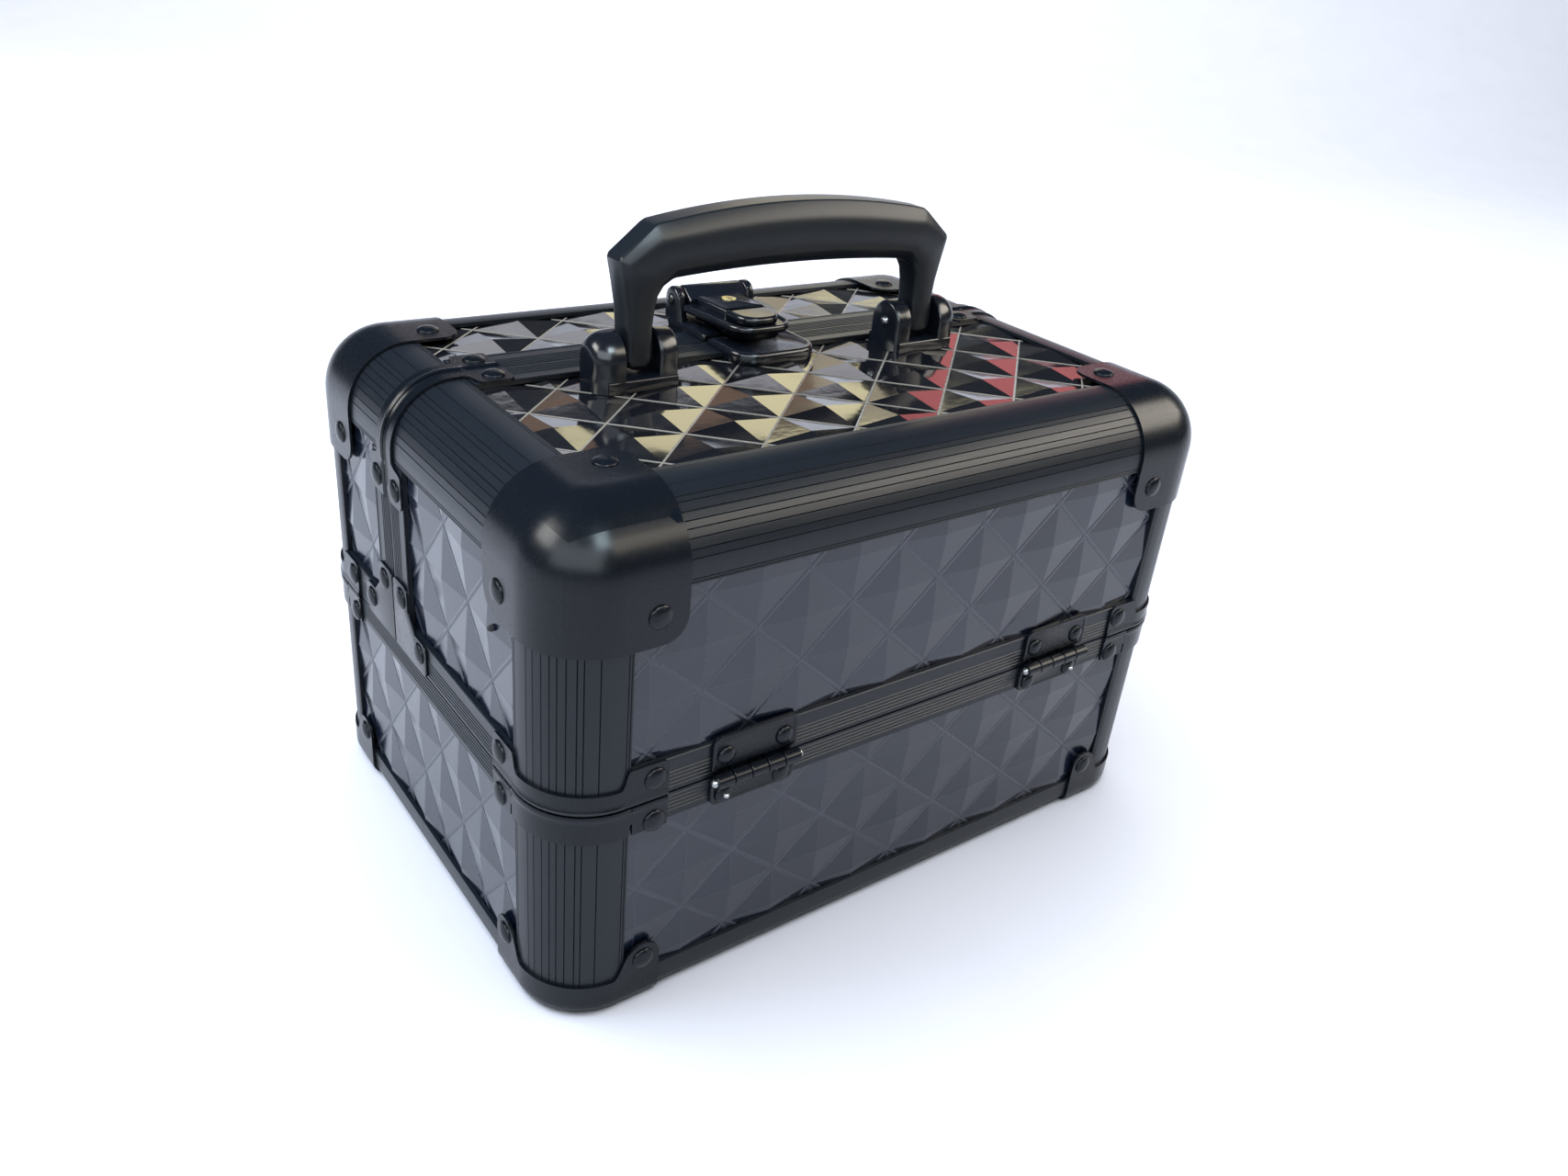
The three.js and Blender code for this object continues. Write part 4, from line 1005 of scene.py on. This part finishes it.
def latch():
    keeper_low, keeper_high = node_box("latch_keeper")
    base_low, base_high = node_box("latch_base")
    hasp_low = node_box("latch_hasp")[0]
    tab_low, tab_high = node_box("latch_release_tab")
    half, front, foot = base_high[0], base_low[1], base_low[2]
    back, barrel = base_high[1], 5.2
    axis_y, axis_z = back - barrel, base_high[2] - barrel
    lip, deck, top = keeper_high[2], tab_low[2] - 0.4, tab_high[2]
    shoulder = back - 11.1  # where the hasp meets its barrel
    half_block = tab_high[0] - 0.4

    keeper = Shape()
    plate(keeper, tongue(keeper_high[0], keeper_low[1], keeper_high[1], 10.5),
          [(keeper_low[2], 0.4), (keeper_low[2] + 0.5, 0), (lip - 1.5, 0), (lip - 0.6, 0.25),
           (lip - 0.1, 0.9), (lip, 1.5), (lip - 0.05, 2.2), (lip - 0.5, 2.9)])
    latch_piece("keeper", keeper, "front_lid")

    base = Shape()
    plate(base, tongue(half, front, back, 1.2, back_radius=4, steps=5),
          [(foot + 2.3, 0), (lip - 0.8, 0), (lip - 0.2, 0.4), (lip, 1.1)])
    plate(base, tongue(half, back - 16, back, 1.2, back_radius=4, steps=5), [(foot, 0.4), (foot + 2.6, 0.4)])
    for sign_x in (-1, 1):
        rings = []
        for x, inset in ((half - 4, 0.7), (half - 3.5, 0.1), (half - 1, 0), (half - 0.3, 0.4), (half, 1.2)):
            ear = [(-barrel - 2.2 + inset, lip - 0.6), (barrel - inset, lip - 0.6)]
            for angle in np.radians(np.linspace(0, 180, 13)):
                ear.append(((barrel - inset) * math.cos(angle), axis_z + (barrel - inset) * math.sin(angle)))
            rings.append([(sign_x * x, axis_y + y, z) for y, z in ear])
        base.loft(rings)
        rivet(base, (sign_x * (half - 0.1), axis_y, axis_z), (sign_x, 0, 0), 2.4, 20)
    latch_piece("base", base, "rear_lid")

    hasp = Shape()
    plate(hasp, tongue(13.2, hasp_low[1] + 0.3, shoulder, 9.5, 17.6, 1.5),
          [(deck - 3, 1.2), (deck - 2.6, 0.3), (deck - 1.9, 0), (deck - 1.1, 0), (deck - 0.3, 0.2),
           (deck + 0.1, 0.7), (deck + 0.1, 1.2), (deck - 0.4, 1.8), (deck - 0.9, 2.1)])
    plate(hasp, tongue(11, hasp_low[1] + 3.5, shoulder, 8),
          [(lip + 0.4, 0.5), (lip + 0.9, 0), (deck - 2.7, 0)])
    plate(hasp, tongue(half_block, tab_high[1] + 1, back - 8.5, 0.4, half_block + 1.4, 1, 5),
          [(deck - 1.2, -0.4), (deck - 0.2, 0), (top - 0.9, 0.1), (top - 0.3, 0.4), (top, 1.1)])
    barrel_cover(hasp, -14.4, 14.4, axis_y, axis_z, barrel, shoulder - 1.2, top - 0.8)
    latch_piece("hasp", hasp, "hasp")

    tab = Shape()
    plate(tab, tongue(half_block + 0.1, tab_low[1], tab_high[1] + 0.5, 8.6, back_radius=0.4),
          [(deck - 0.5, 0.5), (deck, 0.1), (top - 1.3, 0), (top - 0.5, 0.3), (top - 0.05, 1), (top, 1.7)])
    latch_piece("release_tab", tab, "release_tab")
    softened("latch_key_cylinder", "key_cylinder", BRASS, "key_brass", 0.15)


# ---------------------------------------------------------------- inside
def inside():
    softened("front_tray", "tray", TRAY_BLACK, "tray_plastic", 0.5)
    for pair in ("front", "rear"):
        for side in SIDES:
            softened(f"tray_arm_{pair}_{side}", f"arm_{pair}_{side}", PRESSED, "pressed_steel", 0.25)
    for node, material in (("base_rim_frame", ANODISED[0]), ("front_lid_rim", ANODISED[0]),
                           ("rear_lid_rim", ANODISED[0]), ("base_floor", TRAY_BLACK)):
        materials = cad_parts[node].data.materials
        materials.clear()
        materials.append(material)


# ---------------------------------------------------------------- studio
# The camera stands where the photo was taken from: place in mm, angles in degrees, lens in mm on 36 mm.
CAMERA_PLACE = (-285.2, -374.2, 341.8)
CAMERA_AZIMUTH, CAMERA_PITCH, CAMERA_ROLL = 38.85, -28.26, 5.94
FOCAL_LENGTH = 28.06
AIM_HEIGHT = 0.19  # the height the room's lights point at, in metres
# The room that the gloss reflects: azimuths, elevations, brightness and colour. None of it lights the floor.
ROOM = (
    ("left_window", (-94, -60), (22, 45), 14.0, (1, 0.98, 0.94)),
    ("front_window", (176, 200), (35, 54), 22.0, (0.75, 0.92, 1.0)),
    ("front_wall", (150, 173), (25, 43), 7.0, (1, 0.9, 0.72)),
    ("right_wall", (98, 146), (18, 40.5), 9.0, (1, 0.92, 0.8)),
    ("near_wall", (-170, -97), (8, 38), 4.5, (0.85, 0.94, 1.0)),
    ("gold_wall", (31, 49.5), (19, 29), 2.7, (1, 0.9, 0.55)),
    ("brown_wall", (12, 35), (14, 18), 0.45, (1, 0.6, 0.35)),
    ("tan_wall", (35, 42.5), (14, 18.5), 1.0, (1, 0.85, 0.6)),
    ("red_wall", (49.5, 62), (13.6, 21), 1.4, (1, 0.25, 0.25)),
    ("pale_wall", (10, 44), (30, 35.5), 1.6, (0.93, 0.92, 1)),
)


def camera():
    data = bpy.data.cameras.new("camera")
    data.sensor_width = 36
    data.lens = FOCAL_LENGTH
    data.clip_start = 0.01
    view = bpy.data.objects.new("camera", data)
    turn = (Matrix.Rotation(math.radians(-CAMERA_AZIMUTH), 4, "Z")
            @ Matrix.Rotation(math.radians(90 + CAMERA_PITCH), 4, "X")
            @ Matrix.Rotation(math.radians(CAMERA_ROLL), 4, "Z"))
    view.matrix_world = Matrix.Translation(Vector(CAMERA_PLACE) * MM) @ turn
    bpy.context.scene.collection.objects.link(view)
    bpy.context.scene.camera = view


def lamp(name, energy, colour, place, **size):
    """A soft area light."""
    data = bpy.data.lights.new(name, "AREA")
    for key, value in size.items():
        setattr(data, key, value)
    data.energy = energy
    data.color = colour
    light = bpy.data.objects.new(name, data)
    light.location = place
    bpy.context.scene.collection.objects.link(light)
    return light


def card(name, azimuths, elevations, radiance, colour, distance=2.0, in_reflections=True):
    """A rectangular light of a given brightness that fills a window of directions seen from the case.
    It shows only in reflections, or else only lights matt surfaces. Azimuth 0 is behind the case and
    90 to its right."""
    azimuth, elevation = (math.radians(sum(pair) / 2) for pair in (azimuths, elevations))
    half_width, half_height = (math.radians(abs(b - a) / 2) for a, b in (azimuths, elevations))
    width = 2 * distance * math.tan(half_width) * math.cos(elevation)
    height = 2 * distance * math.tan(half_height)
    toward = Vector((math.sin(azimuth) * math.cos(elevation), math.cos(azimuth) * math.cos(elevation),
                     math.sin(elevation)))
    light = lamp(name, radiance * math.pi * width * height, colour,
                 Vector((0, 0, AIM_HEIGHT)) + toward * distance, shape="RECTANGLE", size=width, size_y=height)
    light.rotation_euler = toward.to_track_quat("Z", "Y").to_euler()
    light.visible_glossy = in_reflections
    light.visible_diffuse = not in_reflections


def stage_sheet(name, profile, reach, material):
    """Paper under and behind the case: a profile of (away from the camera, up) points swept sideways."""
    across = np.linspace(-reach, reach, 5)
    points = [(x * MM, y * MM, z * MM) for y, z in profile for x in across]
    faces = []
    for row in range(len(profile) - 1):
        for column in range(len(across) - 1):
            start = row * len(across) + column
            faces.append([start, start + 1, start + len(across) + 1, start + len(across)])
    mesh = bpy.data.meshes.new(name)
    mesh.from_pydata(points, [], faces)
    mesh.shade_smooth()
    mesh.materials.append(material)
    sheet = bpy.data.objects.new(name, mesh)
    sheet.rotation_euler = Euler((0, 0, math.radians(-CAMERA_AZIMUTH)))
    bpy.context.scene.collection.objects.link(sheet)
    sheet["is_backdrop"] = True


def studio():
    scene = bpy.context.scene
    scene.view_settings.view_transform = "Standard"
    world = bpy.data.worlds.new("studio")
    world.use_nodes = True
    background = world.node_tree.nodes["Background"].inputs
    background["Color"].default_value = (0.75, 0.87, 1, 1)
    background["Strength"].default_value = 0.06
    scene.world = world
    ceiling = lamp("ceiling", 228, (0.9, 0.94, 1.06), (0, 0.6, 2.8), size=5)
    ceiling.visible_glossy = False
    for light in ROOM:
        card(*light)
    card("left_floor_fill", (-80, -30), (30, 60), 5.0, (0.72, 0.88, 1.15), 1.6, False)
    pale = look("floor_paper", (0.84, 0.84, 0.85), (0.9, 0.9, 0.9), (0.7, 0.8), 20,
                bump=0.05, bump_depth=0.05)
    reach, rise = 4500, 960
    profile = [(-reach, 0), (reach / 2, 0)]
    for angle in np.radians(np.linspace(-75, 0, 6)):
        profile.append((reach / 2 + rise * math.cos(angle), rise + rise * math.sin(angle)))
    stage_sheet("floor", profile, reach, pale)


# ---------------------------------------------------------------- assembly
edge_extrusions()
panels()
pinhole()
corner_fittings()
rims()
bottom_frame()
hinges()
handle()
for side, sign_x in SIDES.items():
    handle_bracket(side, sign_x)
latch()
inside()
camera()
studio()

bounds = [[list(map(float, corner)) for corner in box] for box in (CAD_BOX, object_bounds())]
